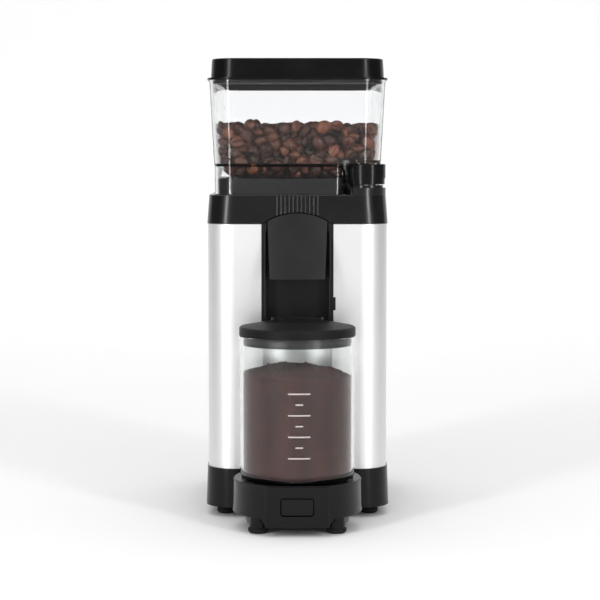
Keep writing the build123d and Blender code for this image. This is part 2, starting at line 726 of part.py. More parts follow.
def bay_step(grow):
    """Room for the knob under the hopper, and lower down for the plinth's wall behind it."""
    with BuildPart() as step:
        add(bay_prism(bay_reach + grow, skirt_bottom - 1, pocket_top + grow))
        # Inside the plinth the bed keeps clear of the plinth's wall
        with BuildPart(mode=Mode.PRIVATE) as inside:
            reach = plinth_bay + plinth_wall + 0.4 + grow
            add(bay_prism(reach, skirt_bottom - 1, PLINTH_TOP + 0.4 + grow))
            add(plinth_prism(CLEAR, skirt_bottom - 2, LEDGE), mode=Mode.INTERSECT)
        add(inside.part)
    return step.part


with BuildPart() as hopper_cavity:
    bed_level = box_level(LEDGE + bed_rise, hopper_wall)
    add(rounded_loft([bed_level, box_level(HOPPER_TOP + 1, hopper_wall)]))
    add(funnel(LEDGE + bed_rise, hopper_wall, throat_top, funnel_wall))
    add(disc(0, BURR_Y, throat_bottom - 1, throat_top + 1, THROAT_RADIUS - 2.2))
    add(bay_step(hopper_wall), mode=Mode.SUBTRACT)

rim_depth = 1.2
with BuildPart() as bean_hopper:
    add(rounded_loft([box_level(LEDGE, 0), box_level(HOPPER_TOP, 0)]))
    with BuildPart(mode=Mode.PRIVATE) as rim:
        with BuildSketch(Plane((0, BODY_Y, HOPPER_TOP - rim_depth))):
            RectangleRounded(hopper_top_width + 1.2, hopper_top_depth + 1.2, hopper_corner + 0.6)
        extrude(amount=rim_depth)
    add(rim.part)
    add(funnel(LEDGE, hopper_wall - 1.4, throat_top - 2.4, 0))
    add(disc(0, BURR_Y, throat_bottom, throat_top, THROAT_RADIUS))
    # The skirt hangs round the plinth and steps in round the knob
    add(plinth_prism(CLEAR + skirt_wall, skirt_bottom, LEDGE + 0.2))
    with BuildPart(mode=Mode.PRIVATE) as under_bed:
        add(plinth_prism(CLEAR, skirt_bottom - 1, LEDGE))
        add(funnel(LEDGE, hopper_wall - 1.4, throat_top - 2.4, 0), mode=Mode.SUBTRACT)
        add(disc(0, BURR_Y, throat_bottom - 2, throat_top, THROAT_RADIUS), mode=Mode.SUBTRACT)
    add(under_bed.part, mode=Mode.SUBTRACT)
    add(bay_step(0), mode=Mode.SUBTRACT)
    add(hopper_cavity.part, mode=Mode.SUBTRACT)
    add(knob_pad(0.4, skirt_bottom - 1, KNOB_PAD_TOP + 0.4), mode=Mode.SUBTRACT)

bean_gap = 0.5
bean_inset = hopper_wall + bean_gap
with BuildPart() as coffee_beans:
    bean_foot = LEDGE + bed_rise + bean_gap
    add(rounded_loft([box_level(bean_foot, bean_inset), box_level(bean_level, bean_inset)]))
    add(funnel(bean_foot, bean_inset, throat_top + bean_gap, funnel_wall + bean_gap + 0.2))
    add(bay_step(bean_inset), mode=Mode.SUBTRACT)

lid_flange_top = HOPPER_TOP + 1.5
lid_bottom_width = 128.5
lid_top_width = 126.8
lid_bottom_depth = hopper_top_depth - (hopper_top_width - lid_bottom_width)
plug_bottom = HOPPER_TOP - 3.0
plug_gap = 0.5
plug_width = hopper_top_width - 2 * hopper_wall - 2 * plug_gap - 0.4
plug_depth = hopper_top_depth - 2 * hopper_wall - 2 * plug_gap - 0.4
plug_corner = hopper_corner - hopper_wall - plug_gap
with BuildPart() as hopper_lid:
    add(
        rounded_loft(
            [
                (lid_flange_top - 0.2, lid_bottom_width, lid_bottom_depth, CORNER - 0.5),
                (LID_TOP, lid_top_width, lid_bottom_depth - 1.7, CORNER - 1.0),
            ]
        )
    )
    fillet(hopper_lid.faces().sort_by(Axis.Z)[-1].edges(), 1.2)
    with BuildSketch(Plane((0, BODY_Y, HOPPER_TOP))):
        RectangleRounded(hopper_top_width + 2.8, hopper_top_depth + 2.8, hopper_corner + 1.4)
    extrude(amount=lid_flange_top - HOPPER_TOP)
    with BuildSketch(Plane((0, BODY_Y, plug_bottom))):
        RectangleRounded(plug_width, plug_depth, plug_corner)
    extrude(amount=HOPPER_TOP - plug_bottom)
    # The seal's groove
    with BuildSketch(Plane((0, BODY_Y, plug_bottom + 0.9))):
        RectangleRounded(plug_width + 2, plug_depth + 2, plug_corner + 1)
        RectangleRounded(plug_width - 1.6, plug_depth - 1.6, plug_corner - 0.8, mode=Mode.SUBTRACT)
    extrude(amount=1.2, mode=Mode.SUBTRACT)
    lid_cavity = rounded_loft(
        [
            (plug_bottom - 1, plug_width - 6.5, plug_depth - 6.5, plug_corner - 3),
            (LID_TOP - 2.6, lid_top_width - 6.5, lid_bottom_depth - 8.2, CORNER - 4),
        ]
    )
    add(lid_cavity, mode=Mode.SUBTRACT)

with BuildPart() as lid_seal:
    with BuildSketch(Plane((0, BODY_Y, plug_bottom + 0.9))):
        RectangleRounded(plug_width + 0.5, plug_depth + 0.5, plug_corner + 0.25)
        RectangleRounded(plug_width - 1.6, plug_depth - 1.6, plug_corner - 0.8, mode=Mode.SUBTRACT)
    extrude(amount=1.2)

# ---- Grind adjustment --------------------------------------------------------------------

knob_step = 251.5
with BuildPart() as grind_knob:
    add(disc(KNOB_X, KNOB_Y, knob_step, KNOB_TOP, KNOB_RADIUS))
    fillet(grind_knob.faces().sort_by(Axis.Z)[-1].edges(), 0.9)
    add(disc(KNOB_X, KNOB_Y, KNOB_BOTTOM, knob_step, KNOB_RADIUS - 0.6))
    # Hollow underside with a hub for the shaft, and a pointer groove on top
    add(disc(KNOB_X, KNOB_Y, KNOB_BOTTOM - 1, KNOB_TOP - 3, KNOB_RADIUS - 2.6), mode=Mode.SUBTRACT)
    add(disc(KNOB_X, KNOB_Y, KNOB_BOTTOM + 0.5, KNOB_TOP - 2, 5.5))
    add(disc(KNOB_X, KNOB_Y, KNOB_BOTTOM - 1, KNOB_TOP - 3, 3.0), mode=Mode.SUBTRACT)
    groove = block(
        KNOB_X - 0.5, KNOB_X + 0.5, KNOB_Y - KNOB_RADIUS, KNOB_Y - 6, KNOB_TOP - 0.5, KNOB_TOP + 1
    )
    add(groove, mode=Mode.SUBTRACT)

gear_bottom = 228.2
gear_top = 232.2
mesh_angle = degrees(atan2(KNOB_Y - BURR_Y, KNOB_X))
shaft_bottom = 220.5
with BuildPart() as knob_shaft:
    add(disc(KNOB_X, KNOB_Y, shaft_bottom, KNOB_TOP - 3, 2.98))
    chamfer(knob_shaft.edges().sort_by(Axis.Z)[0], 0.6)

with BuildPart() as adjust_pinion:
    gap_turn = mesh_angle + 180 + 180 / PINION_TEETH
    add(gear_blank(KNOB_X, KNOB_Y, gear_bottom, gear_top + 0.6, PINION_TEETH, gap_turn))
    add(disc(KNOB_X, KNOB_Y, gear_bottom - 2.0, gear_top + 3.6, 6.0))
    add(disc(KNOB_X, KNOB_Y, gear_bottom - 5, gear_top + 9, 2.98), mode=Mode.SUBTRACT)

ring_bore = CARRIER_RADIUS + 0.35
with BuildPart() as adjust_ring:
    add(gear_blank(0, BURR_Y, gear_bottom, gear_top, RING_TEETH, mesh_angle))
    add(disc(0, BURR_Y, CHAMBER_TOP + CLEAR, gear_top + 1.5, ring_bore + 4.5))
    add(disc(0, BURR_Y, CHAMBER_TOP - 1, gear_top + 3, ring_bore), mode=Mode.SUBTRACT)
    for x, y in burr_axis_points(12, 46.0, 15):
        add(disc(x, y, gear_bottom - 1, gear_top + 1, 5.5), mode=Mode.SUBTRACT)

carrier_top = 236.2
carrier_bottom = UPPER_BURR_BOTTOM + BURR_THICKNESS
key_half = 3.0
key_reach = 34.6
with BuildPart() as upper_burr_carrier:
    add(disc(0, BURR_Y, carrier_bottom, carrier_top, CARRIER_RADIUS))
    for side in (-1, 1):
        x0, x1 = sorted((side * (CARRIER_RADIUS - 2), side * key_reach))
        key_bottom = carrier_bottom + 1
        add(block(x0, x1, BURR_Y - key_half, BURR_Y + key_half, key_bottom, key_bottom + 5))
    add(disc(0, BURR_Y, carrier_bottom + 4, carrier_top + 1, THROAT_RADIUS + 1.0), mode=Mode.SUBTRACT)
    add(disc(0, BURR_Y, carrier_bottom - 1, carrier_bottom + 5, 14.0), mode=Mode.SUBTRACT)
    # Turned thread, shown as fine grooves
    for index in range(6):
        z = 222.0 + 2.0 * index
        with BuildSketch(Plane((0, BURR_Y, z))):
            Circle(CARRIER_RADIUS + 1)
            Circle(CARRIER_RADIUS - 0.6, mode=Mode.SUBTRACT)
        extrude(amount=0.9, mode=Mode.SUBTRACT)
    for x, y in burr_axis_points(3, BURR_SCREW_CIRCLE, 90):
        add(disc(x, y, carrier_bottom - 1, carrier_bottom + 3.6, 1.55), mode=Mode.SUBTRACT)


def burr(bottom, cutting_up):
    """A flat ring burr with slanted cutting teeth on one face and three screw holes."""
    inner = 13.0
    tooth_count = 30
    tooth_depth = 1.4
    face = bottom + BURR_THICKNESS if cutting_up else bottom
    with BuildPart() as ring:
        add(disc(0, BURR_Y, bottom, bottom + BURR_THICKNESS, BURR_RADIUS, inner))
        for index in range(tooth_count):
            turn = 360 * index / tooth_count
            low = face - tooth_depth if cutting_up else face - 1
            with BuildSketch(Plane((0, BURR_Y, low)).rotated((0, 0, turn))):
                with Locations(Location((19.0, 2.5, 0), (0, 0, 24))):
                    Rectangle(15.0, 1.0)
            extrude(amount=tooth_depth + 1, mode=Mode.SUBTRACT)
        for x, y in burr_axis_points(3, BURR_SCREW_CIRCLE, 90):
            add(disc(x, y, bottom - 1, bottom + BURR_THICKNESS + 1, 1.65), mode=Mode.SUBTRACT)
            low = bottom + BURR_THICKNESS - 2.6 if cutting_up else bottom - 1
            add(disc(x, y, low, low + 3.6, 3.2), mode=Mode.SUBTRACT)
    return ring.part


with BuildPart() as upper_burr:
    add(burr(UPPER_BURR_BOTTOM, cutting_up=False))

with BuildPart() as lower_burr:
    add(burr(LOWER_BURR_BOTTOM, cutting_up=True))


def burr_screws(head_z, up):
    """Three small screws on the burr's hole circle."""
    with BuildPart() as group:
        for x, y in burr_axis_points(3, BURR_SCREW_CIRCLE, 90):
            add(screw(x, y, head_z, 6.0, radius=1.5, head_radius=2.9, head_height=1.6, up=up))
    return group.part


with BuildPart() as upper_burr_screws:
    add(burr_screws(UPPER_BURR_BOTTOM + 1.0, up=True))

with BuildPart() as lower_burr_screws:
    add(burr_screws(LOWER_BURR_BOTTOM + BURR_THICKNESS - 1.0, up=False))

# ---- Grinding chamber --------------------------------------------------------------------

duct_half = 12.0
duct_floor = 194.2
duct_roof = 212.6
with BuildPart() as burr_chamber:
    add(disc(0, BURR_Y, PLATE_TOP, CHAMBER_TOP, CHAMBER_OUTER))
    # Outlet duct to the window in the chute's panel
    add(block(-duct_half, duct_half, panel_back_y, BURR_Y, duct_floor - 2, duct_roof + 2))
    # Arm that carries the foot of the knob's shaft
    arm = Vector(KNOB_X, KNOB_Y - BURR_Y, 0)
    middle = arm * 0.72
    arm_plane = Plane((middle.X, BURR_Y + middle.Y, CHAMBER_TOP - 5))
    with BuildSketch(arm_plane.rotated((0, 0, mesh_angle))):
        Rectangle(arm.length * 0.56, 10)
    extrude(amount=4)
    add(disc(KNOB_X, KNOB_Y, CHAMBER_TOP - 5, CHAMBER_TOP - 1, 5.5))
    add(disc(0, BURR_Y, PLATE_TOP + 3, CHAMBER_TOP + 1, CHAMBER_INNER), mode=Mode.SUBTRACT)
    bore_half = duct_half - 2
    duct_bore = block(-bore_half, bore_half, panel_back_y - 1, BURR_Y - 20, duct_floor, duct_roof)
    add(duct_bore, mode=Mode.SUBTRACT)
    for side in (-1, 1):
        x0, x1 = sorted((side * 30, side * (key_reach + 0.4)))
        half = key_half + 0.2
        slot = block(x0, x1, BURR_Y - half, BURR_Y + half, carrier_bottom + 0.2, CHAMBER_TOP + 1)
        add(slot, mode=Mode.SUBTRACT)
    add(disc(0, BURR_Y, PLATE_TOP - 1, PLATE_TOP + 4, SHAFT_RADIUS + 1.2), mode=Mode.SUBTRACT)
    add(disc(KNOB_X, KNOB_Y, CHAMBER_TOP - 6, CHAMBER_TOP, 3.05), mode=Mode.SUBTRACT)
    for x, y in burr_axis_points(4, MOTOR_SCREW_CIRCLE, 45):
        add(disc(x, y, PLATE_TOP - 1, PLATE_TOP + 4, 2.1), mode=Mode.SUBTRACT)

carrier_disc_bottom = 196.4
with BuildPart() as lower_burr_carrier:
    add(disc(0, BURR_Y, carrier_disc_bottom, LOWER_BURR_BOTTOM, 29.0))
    for index in range(4):
        turn = 90 * index
        with BuildSketch(Plane((0, BURR_Y, 194.8)).rotated((0, 0, turn))):
            with Locations((28.0, 0)):
                Rectangle(8.0, 3.0)
        extrude(amount=6.5)
    add(disc(0, BURR_Y, carrier_disc_bottom - 2, LOWER_BURR_BOTTOM + 1, 9.0, SHAFT_RADIUS + 0.02))
    add(disc(0, BURR_Y, 190, 210, SHAFT_RADIUS + 0.02), mode=Mode.SUBTRACT)
    for x, y in burr_axis_points(3, BURR_SCREW_CIRCLE, 90):
        add(disc(x, y, 198.0, LOWER_BURR_BOTTOM + 1, 1.55), mode=Mode.SUBTRACT)

with BuildPart() as burr_nut:
    nut_bottom = LOWER_BURR_BOTTOM + 1.0
    with BuildSketch(Plane((0, BURR_Y, nut_bottom))):
        RegularPolygon(7.5, 6)
        Circle(SHAFT_RADIUS + 0.02, mode=Mode.SUBTRACT)
    extrude(amount=4.5)

# ---- Motor -------------------------------------------------------------------------------

motor_top = PLATE_BOTTOM
bell_height = 7.0
bearing_radius = 11.0
with BuildPart() as mount_plate:
    with BuildSketch(Plane((0, BODY_Y, PLATE_BOTTOM))):
        edge = SHELL_SHEET + 0.5
        RectangleRounded(SHELL_WIDTH - 2 * edge, SHELL_DEPTH - 2 * edge, CORNER - 2)
        with Locations((0, -SHELL_DEPTH / 2)):
            Rectangle(2 * SLOT_HALF + 8, 26, mode=Mode.SUBTRACT)
        with Locations((0, 62)):
            RectangleRounded(70, 22, 4, mode=Mode.SUBTRACT)
    extrude(amount=PLATE_THICKNESS)
    add(disc(0, BURR_Y, 180, 195, bearing_radius + 2), mode=Mode.SUBTRACT)
    for x, y in POSTS:
        add(disc(x, y, 180, 195, 2.0), mode=Mode.SUBTRACT)
    for x, y in burr_axis_points(4, MOTOR_SCREW_CIRCLE, 45):
        add(disc(x, y, 180, 195, 2.1), mode=Mode.SUBTRACT)

with BuildPart() as motor_can:
    can_bottom = MOTOR_BOTTOM + bell_height
    add(disc(0, BURR_Y, can_bottom, motor_top - bell_height, MOTOR_RADIUS, MOTOR_RADIUS - 1.6))


def end_bell(bottom, top, seat_bottom, seat_top):
    """A motor end bell: spoked disc with a seat for the shaft's bearing."""
    with BuildPart() as bell:
        add(disc(0, BURR_Y, bottom, top, MOTOR_RADIUS))
        for x, y in burr_axis_points(6, 25.0):
            add(disc(x, y, bottom - 1, top + 1, 8.0), mode=Mode.SUBTRACT)
        add(disc(0, BURR_Y, bottom - 1, top + 1, SHAFT_RADIUS + 2.5), mode=Mode.SUBTRACT)
        add(disc(0, BURR_Y, seat_bottom, seat_top, bearing_radius), mode=Mode.SUBTRACT)
    return bell.part


bearing_height = 5.0
upper_seat = motor_top - bell_height
lower_seat = MOTOR_BOTTOM + bell_height - bearing_height
with BuildPart() as upper_end_bell:
    add(end_bell(motor_top - bell_height, motor_top, upper_seat - 1, upper_seat + bearing_height))
    for x, y in burr_axis_points(4, MOTOR_SCREW_CIRCLE, 45):
        add(disc(x, y, motor_top - bell_height - 1, motor_top + 1, 3.6))
        add(disc(x, y, motor_top - bell_height - 2, motor_top + 2, 2.05), mode=Mode.SUBTRACT)
    add(block(-60, 60, -60, 90, motor_top, motor_top + 5), mode=Mode.SUBTRACT)
    under_bell = block(-60, 60, -60, 90, motor_top - bell_height - 5, motor_top - bell_height)
    add(under_bell, mode=Mode.SUBTRACT)

with BuildPart() as lower_end_bell:
    add(end_bell(MOTOR_BOTTOM, MOTOR_BOTTOM + bell_height, lower_seat, MOTOR_BOTTOM + bell_height + 1))

with BuildPart() as upper_bearing:
    add(disc(0, BURR_Y, upper_seat, upper_seat + bearing_height, bearing_radius, SHAFT_RADIUS + 0.02))
    fillet(upper_bearing.edges().filter_by(GeomType.CIRCLE).group_by(SortBy.LENGTH)[-1], 0.5)

with BuildPart() as lower_bearing:
    add(disc(0, BURR_Y, lower_seat, lower_seat + bearing_height, bearing_radius, SHAFT_RADIUS + 0.02))
    fillet(lower_bearing.edges().filter_by(GeomType.CIRCLE).group_by(SortBy.LENGTH)[-1], 0.5)

stack_bottom = 106.0
stack_top = 166.0
with BuildPart() as stator_core:
    add(disc(0, BURR_Y, stack_bottom, stack_top, MOTOR_RADIUS - 1.8, 26.0))
    for side in (-1, 1):
        x0, x1 = sorted((side * 20, side * 36.5))
        slot = block(x0, x1, BURR_Y - 11, BURR_Y + 11, stack_bottom - 1, stack_top + 1)
        add(slot, mode=Mode.SUBTRACT)

with BuildPart() as rotor_core:
    add(disc(0, BURR_Y, stack_bottom + 1, stack_top - 1, 25.2, SHAFT_RADIUS + 0.02))
    for index in range(12):
        turn = 30 * index
        with BuildSketch(Plane((0, BURR_Y, stack_bottom)).rotated((0, 0, turn))):
            with Locations((20.0, 0)):
                Circle(2.6)
            with Locations((24.0, 0)):
                Rectangle(6.0, 1.6)
        extrude(amount=stack_top - stack_bottom, mode=Mode.SUBTRACT)

with BuildPart() as commutator:
    add(disc(0, BURR_Y, 88, 102, 12.0, SHAFT_RADIUS + 0.02))
    for index in range(24):
        turn = 15 * index
        with BuildSketch(Plane((0, BURR_Y, 87)).rotated((0, 0, turn))):
            with Locations((12.0, 0)):
                Rectangle(2.4, 0.5)
        extrude(amount=13, mode=Mode.SUBTRACT)

with BuildPart() as brush_holders:
    for side in (-1, 1):
        x0, x1 = sorted((side * 12.3, side * 37.5))
        add(block(x0, x1, BURR_Y - 4, BURR_Y + 4, 90, 99))

with BuildPart() as motor_shaft:
    add(disc(0, BURR_Y, 64.5, LOWER_BURR_BOTTOM + 7.0, SHAFT_RADIUS))
    chamfer(motor_shaft.edges().filter_by(GeomType.CIRCLE), 0.5)

with BuildPart() as cooling_fan:
    add(disc(0, BURR_Y, 66, 67.5, 35.0, SHAFT_RADIUS + 0.02))
    add(disc(0, BURR_Y, 66, 74.5, 8.0, SHAFT_RADIUS + 0.02))
    for index in range(12):
        turn = 30 * index
        with BuildSketch(Plane((0, BURR_Y, 67.0)).rotated((0, 0, turn))):
            with Locations(Location((22.0, 3.0, 0), (0, 0, 18))):
                Rectangle(24.0, 1.2)
        extrude(amount=6.0)

with BuildPart() as motor_screws:
    for x, y in burr_axis_points(4, MOTOR_SCREW_CIRCLE, 45):
        head_top = PLATE_TOP + 3 + 1.4
        add(screw(x, y, head_top, 12.0, radius=2.0, head_radius=3.3, head_height=1.4, up=False))

# ---- Inner frame and electronics ---------------------------------------------------------

with BuildPart() as lower_posts:
    for x, y in POSTS:
        add(disc(x, y, POST_FOOT, PLATE_BOTTOM, POST_RADIUS))

with BuildPart() as upper_posts:
    for x, y in POSTS:
        add(disc(x, y, PLATE_TOP, DECK_TOP - deck_thickness, POST_RADIUS))

board_y = 103.0
with BuildPart() as control_board:
    add(block(-42, 42, board_y, board_y + 1.6, 44, 134))
    add(disc(-22, board_y - 9, 60, 96, 9.0))
    add(block(-24, -20, board_y - 2, board_y + 0.5, 62, 94))
    add(block(4, 34, board_y - 16, board_y + 0.5, 52, 72))
    add(block(6, 30, board_y - 12, board_y + 0.5, 84, 108))

with BuildPart() as board_brackets:
    for x in (-36, 36):
        add(block(x - 5, x + 5, board_y + 1.6, SHELL_BACK_Y - SHELL_SHEET, 54, 60))
        add(block(x - 5, x + 5, board_y + 1.6, SHELL_BACK_Y - SHELL_SHEET, 118, 124))

plunger_tip_y = JAR_Y + JAR_RADIUS + 0.3
with BuildPart() as jar_plunger:
    with BuildSketch(Plane((0, plunger_tip_y, SENSOR_Z), x_dir=(1, 0, 0), z_dir=(0, 1, 0))):
        Circle(2.9)
    extrude(amount=14)
    fillet(jar_plunger.faces().sort_by(Axis.Y)[0].edges(), 1.2)
    with BuildSketch(Plane((0, CHANNEL_BACK_Y + 7.5, SENSOR_Z), x_dir=(1, 0, 0), z_dir=(0, 1, 0))):
        Circle(4.6)
    extrude(amount=1.5)

with BuildPart() as jar_switch:
    add(block(-10, 10, plunger_tip_y + 14.4, plunger_tip_y + 26, SENSOR_Z - 7, SENSOR_Z + 7))

# ---- Jar ---------------------------------------------------------------------------------


def turned(points):
    """A body turned about the jar's axis from (radius, z) corners; the last joins the first."""
    with BuildPart() as body:
        with BuildSketch(Plane((0, JAR_Y, 0), x_dir=(1, 0, 0), z_dir=(0, -1, 0))):
            with BuildLine():
                Polyline(*points, close=True)
            make_face()
        revolve(axis=Axis((0, JAR_Y, 0), (0, 0, 1)))
    return body.part


jar_floor = SEAT_TOP + 3.2
jar_inner = JAR_RADIUS - JAR_WALL
with BuildPart() as glass_jar:
    add(turned([(0, SEAT_TOP), (JAR_RADIUS, SEAT_TOP), (JAR_RADIUS, JAR_TOP), (0, JAR_TOP)]))
    fillet(glass_jar.faces().sort_by(Axis.Z)[0].edges(), 8.0)
    with BuildPart(mode=Mode.PRIVATE) as jar_inside:
        above = JAR_TOP + 2
        add(turned([(0, jar_floor), (jar_inner, jar_floor), (jar_inner, above), (0, above)]))
        fillet(jar_inside.faces().sort_by(Axis.Z)[0].edges(), 6.5)
    add(jar_inside.part, mode=Mode.SUBTRACT)
    fillet(glass_jar.faces().sort_by(Axis.Z)[-1].edges(), 0.8)

grounds_level = 117.5
with BuildPart() as ground_coffee:
    gap = 0.3
    add(
        turned(
            [
                (0, jar_floor + gap),
                (jar_inner - gap, jar_floor + gap),
                (jar_inner - gap, grounds_level),
                (0, grounds_level),
            ]
        )
    )
    fillet(ground_coffee.faces().sort_by(Axis.Z)[0].edges(), 6.4)
    chamfer(ground_coffee.faces().sort_by(Axis.Z)[-1].edges(), 1.5)

jar_lid_radius = 41.9
jar_lid_edge = 145.9
jar_lid_crown = 149.0
jar_plug_bottom = 132.8
jar_plug_radius = jar_inner - 0.7
collar_y = SHELL_FRONT_Y - 16.5
collar_top = 151.0
collar_length = 38.0
collar_width = 21.0
seal_bottom = 134.8
seal_height = 2.0
with BuildPart() as jar_lid:
    add(
        turned(
            [
                (0, jar_plug_bottom),
                (jar_plug_radius, jar_plug_bottom),
                (jar_plug_radius, seal_bottom),
                (jar_plug_radius - 1.4, seal_bottom),
                (jar_plug_radius - 1.4, seal_bottom + seal_height),
                (jar_plug_radius, seal_bottom + seal_height),
                (jar_plug_radius, JAR_TOP),
                (jar_lid_radius, JAR_TOP),
                (jar_lid_radius, jar_lid_edge - 1.0),
                (jar_lid_radius - 1.0, jar_lid_edge),
                (24.0, jar_lid_crown),
                (0, jar_lid_crown),
            ]
        )
    )
    with BuildSketch(Plane((0, collar_y, jar_lid_crown - 3))):
        SlotOverall(collar_length, collar_width)
    extrude(amount=collar_top - jar_lid_crown + 3)
    # Notches that let the rim pass the two rails of the chute panel
    for side in (-1, 1):
        notch_x = side * (RAIL_INNER + rail_bead)
        notch_radius = rail_bead + 0.35
        add(
            disc(notch_x, SHELL_FRONT_Y, JAR_TOP - 1, jar_lid_crown, notch_radius),
            mode=Mode.SUBTRACT,
        )
    # Hollow plug, and the opening that the grounds fall through
    with BuildPart(mode=Mode.PRIVATE) as plug_inside:
        radius = jar_plug_radius - 3.2
        add(
            turned(
                [
                    (0, jar_plug_bottom - 1),
                    (radius, jar_plug_bottom - 1),
                    (radius, JAR_TOP),
                    (24.0, JAR_TOP + 5.0),
                    (0, JAR_TOP + 5.0),
                ]
            )
        )
    add(plug_inside.part, mode=Mode.SUBTRACT)
    with BuildSketch(Plane((0, collar_y, JAR_TOP))):
        SlotOverall(collar_length - 5, collar_width - 5)
    extrude(amount=20, mode=Mode.SUBTRACT)

with BuildPart() as jar_lid_seal:
    seal_top = seal_bottom + seal_height
    add(disc(0, JAR_Y, seal_bottom, seal_top, jar_plug_radius + 0.4, jar_plug_radius - 1.4))

# ---- Write the parts ---------------------------------------------------------------------

PIECES = {
    "base_housing": base_housing,
    "platform_housing": platform_housing,
    "base_plate": base_plate,
    "platform_plate": platform_plate,
    "platform_feet": platform_feet,
    "body_feet": body_feet,
    "base_screws": base_screws,
    "switch_sleeve": switch_sleeve,
    "start_button": start_button,
    "start_switch": start_switch,
    "cord_grommet": cord_grommet,
    "outer_shell": outer_shell,
    "front_strip": front_strip,
    "chute_panel": chute_panel,
    "chute_hood": chute_hood,
    "top_housing": top_housing,
    "bean_hopper": bean_hopper,
    "coffee_beans": coffee_beans,
    "hopper_lid": hopper_lid,
    "lid_seal": lid_seal,
    "grind_knob": grind_knob,
    "knob_shaft": knob_shaft,
    "adjust_pinion": adjust_pinion,
    "adjust_ring": adjust_ring,
    "upper_burr_carrier": upper_burr_carrier,
    "upper_burr": upper_burr,
    "lower_burr": lower_burr,
    "upper_burr_screws": upper_burr_screws,
    "lower_burr_screws": lower_burr_screws,
    "burr_chamber": burr_chamber,
    "lower_burr_carrier": lower_burr_carrier,
    "burr_nut": burr_nut,
    "mount_plate": mount_plate,
    "motor_can": motor_can,
    "upper_end_bell": upper_end_bell,
    "lower_end_bell": lower_end_bell,
    "upper_bearing": upper_bearing,
    "lower_bearing": lower_bearing,
    "stator_core": stator_core,
    "rotor_core": rotor_core,
    "commutator": commutator,
    "brush_holders": brush_holders,
    "motor_shaft": motor_shaft,
    "cooling_fan": cooling_fan,
    "motor_screws": motor_screws,
    "lower_posts": lower_posts,
    "upper_posts": upper_posts,
    "control_board": control_board,
    "board_brackets": board_brackets,
    "jar_plunger": jar_plunger,
    "jar_switch": jar_switch,
    "glass_jar": glass_jar,
    "ground_coffee": ground_coffee,
    "jar_lid": jar_lid,
    "jar_lid_seal": jar_lid_seal,
}

os.makedirs("parts", exist_ok=True)
for name, piece in PIECES.items():
    piece.part.label = name
    export_step(piece.part, f"parts/{name}.step")
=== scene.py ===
"""Looks for an upright burr coffee grinder: studio, camera, materials, beans, grounds and prints.

Metres throughout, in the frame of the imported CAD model: +Z up, the front faces -Y.
"""

import json
import math

import bpy
import numpy as np
from mathutils import Matrix, Vector


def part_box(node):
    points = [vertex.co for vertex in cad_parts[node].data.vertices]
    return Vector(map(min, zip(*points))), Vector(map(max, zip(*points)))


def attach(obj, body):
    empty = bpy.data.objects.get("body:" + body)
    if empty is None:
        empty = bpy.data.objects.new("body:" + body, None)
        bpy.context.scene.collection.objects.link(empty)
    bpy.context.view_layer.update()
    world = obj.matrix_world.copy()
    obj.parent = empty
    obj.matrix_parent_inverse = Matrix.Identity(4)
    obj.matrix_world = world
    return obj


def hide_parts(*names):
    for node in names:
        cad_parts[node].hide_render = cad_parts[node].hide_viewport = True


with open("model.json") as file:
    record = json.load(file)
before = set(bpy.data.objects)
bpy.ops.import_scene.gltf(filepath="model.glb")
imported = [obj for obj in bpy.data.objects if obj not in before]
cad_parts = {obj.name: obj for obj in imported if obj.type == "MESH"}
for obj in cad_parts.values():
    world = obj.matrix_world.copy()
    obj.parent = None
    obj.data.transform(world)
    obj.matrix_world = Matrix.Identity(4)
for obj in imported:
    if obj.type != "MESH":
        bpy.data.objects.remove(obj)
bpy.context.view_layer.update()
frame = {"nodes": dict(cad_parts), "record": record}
NODES = frame["nodes"]

# ---- Driving values ----------------------------------------------------------------------

CAMERA_PLACE = (0.0019, -1.4428, 0.2686)
CAMERA_PITCH = math.radians(4.36)
FOCAL_MM = 114.0
ROOM_WHITE = 1.06
ROOM_SIDE = 0.15
ROOM_FRONT = 0.35

BEAN_LENGTH = 0.0106
BEAN_RADII = (0.5, 0.41, 0.29)
BEAN_LIMIT = 2600
BEAN_SEED = 11
GROUNDS_SEED = 5


# ---- Node helpers ------------------------------------------------------------------------


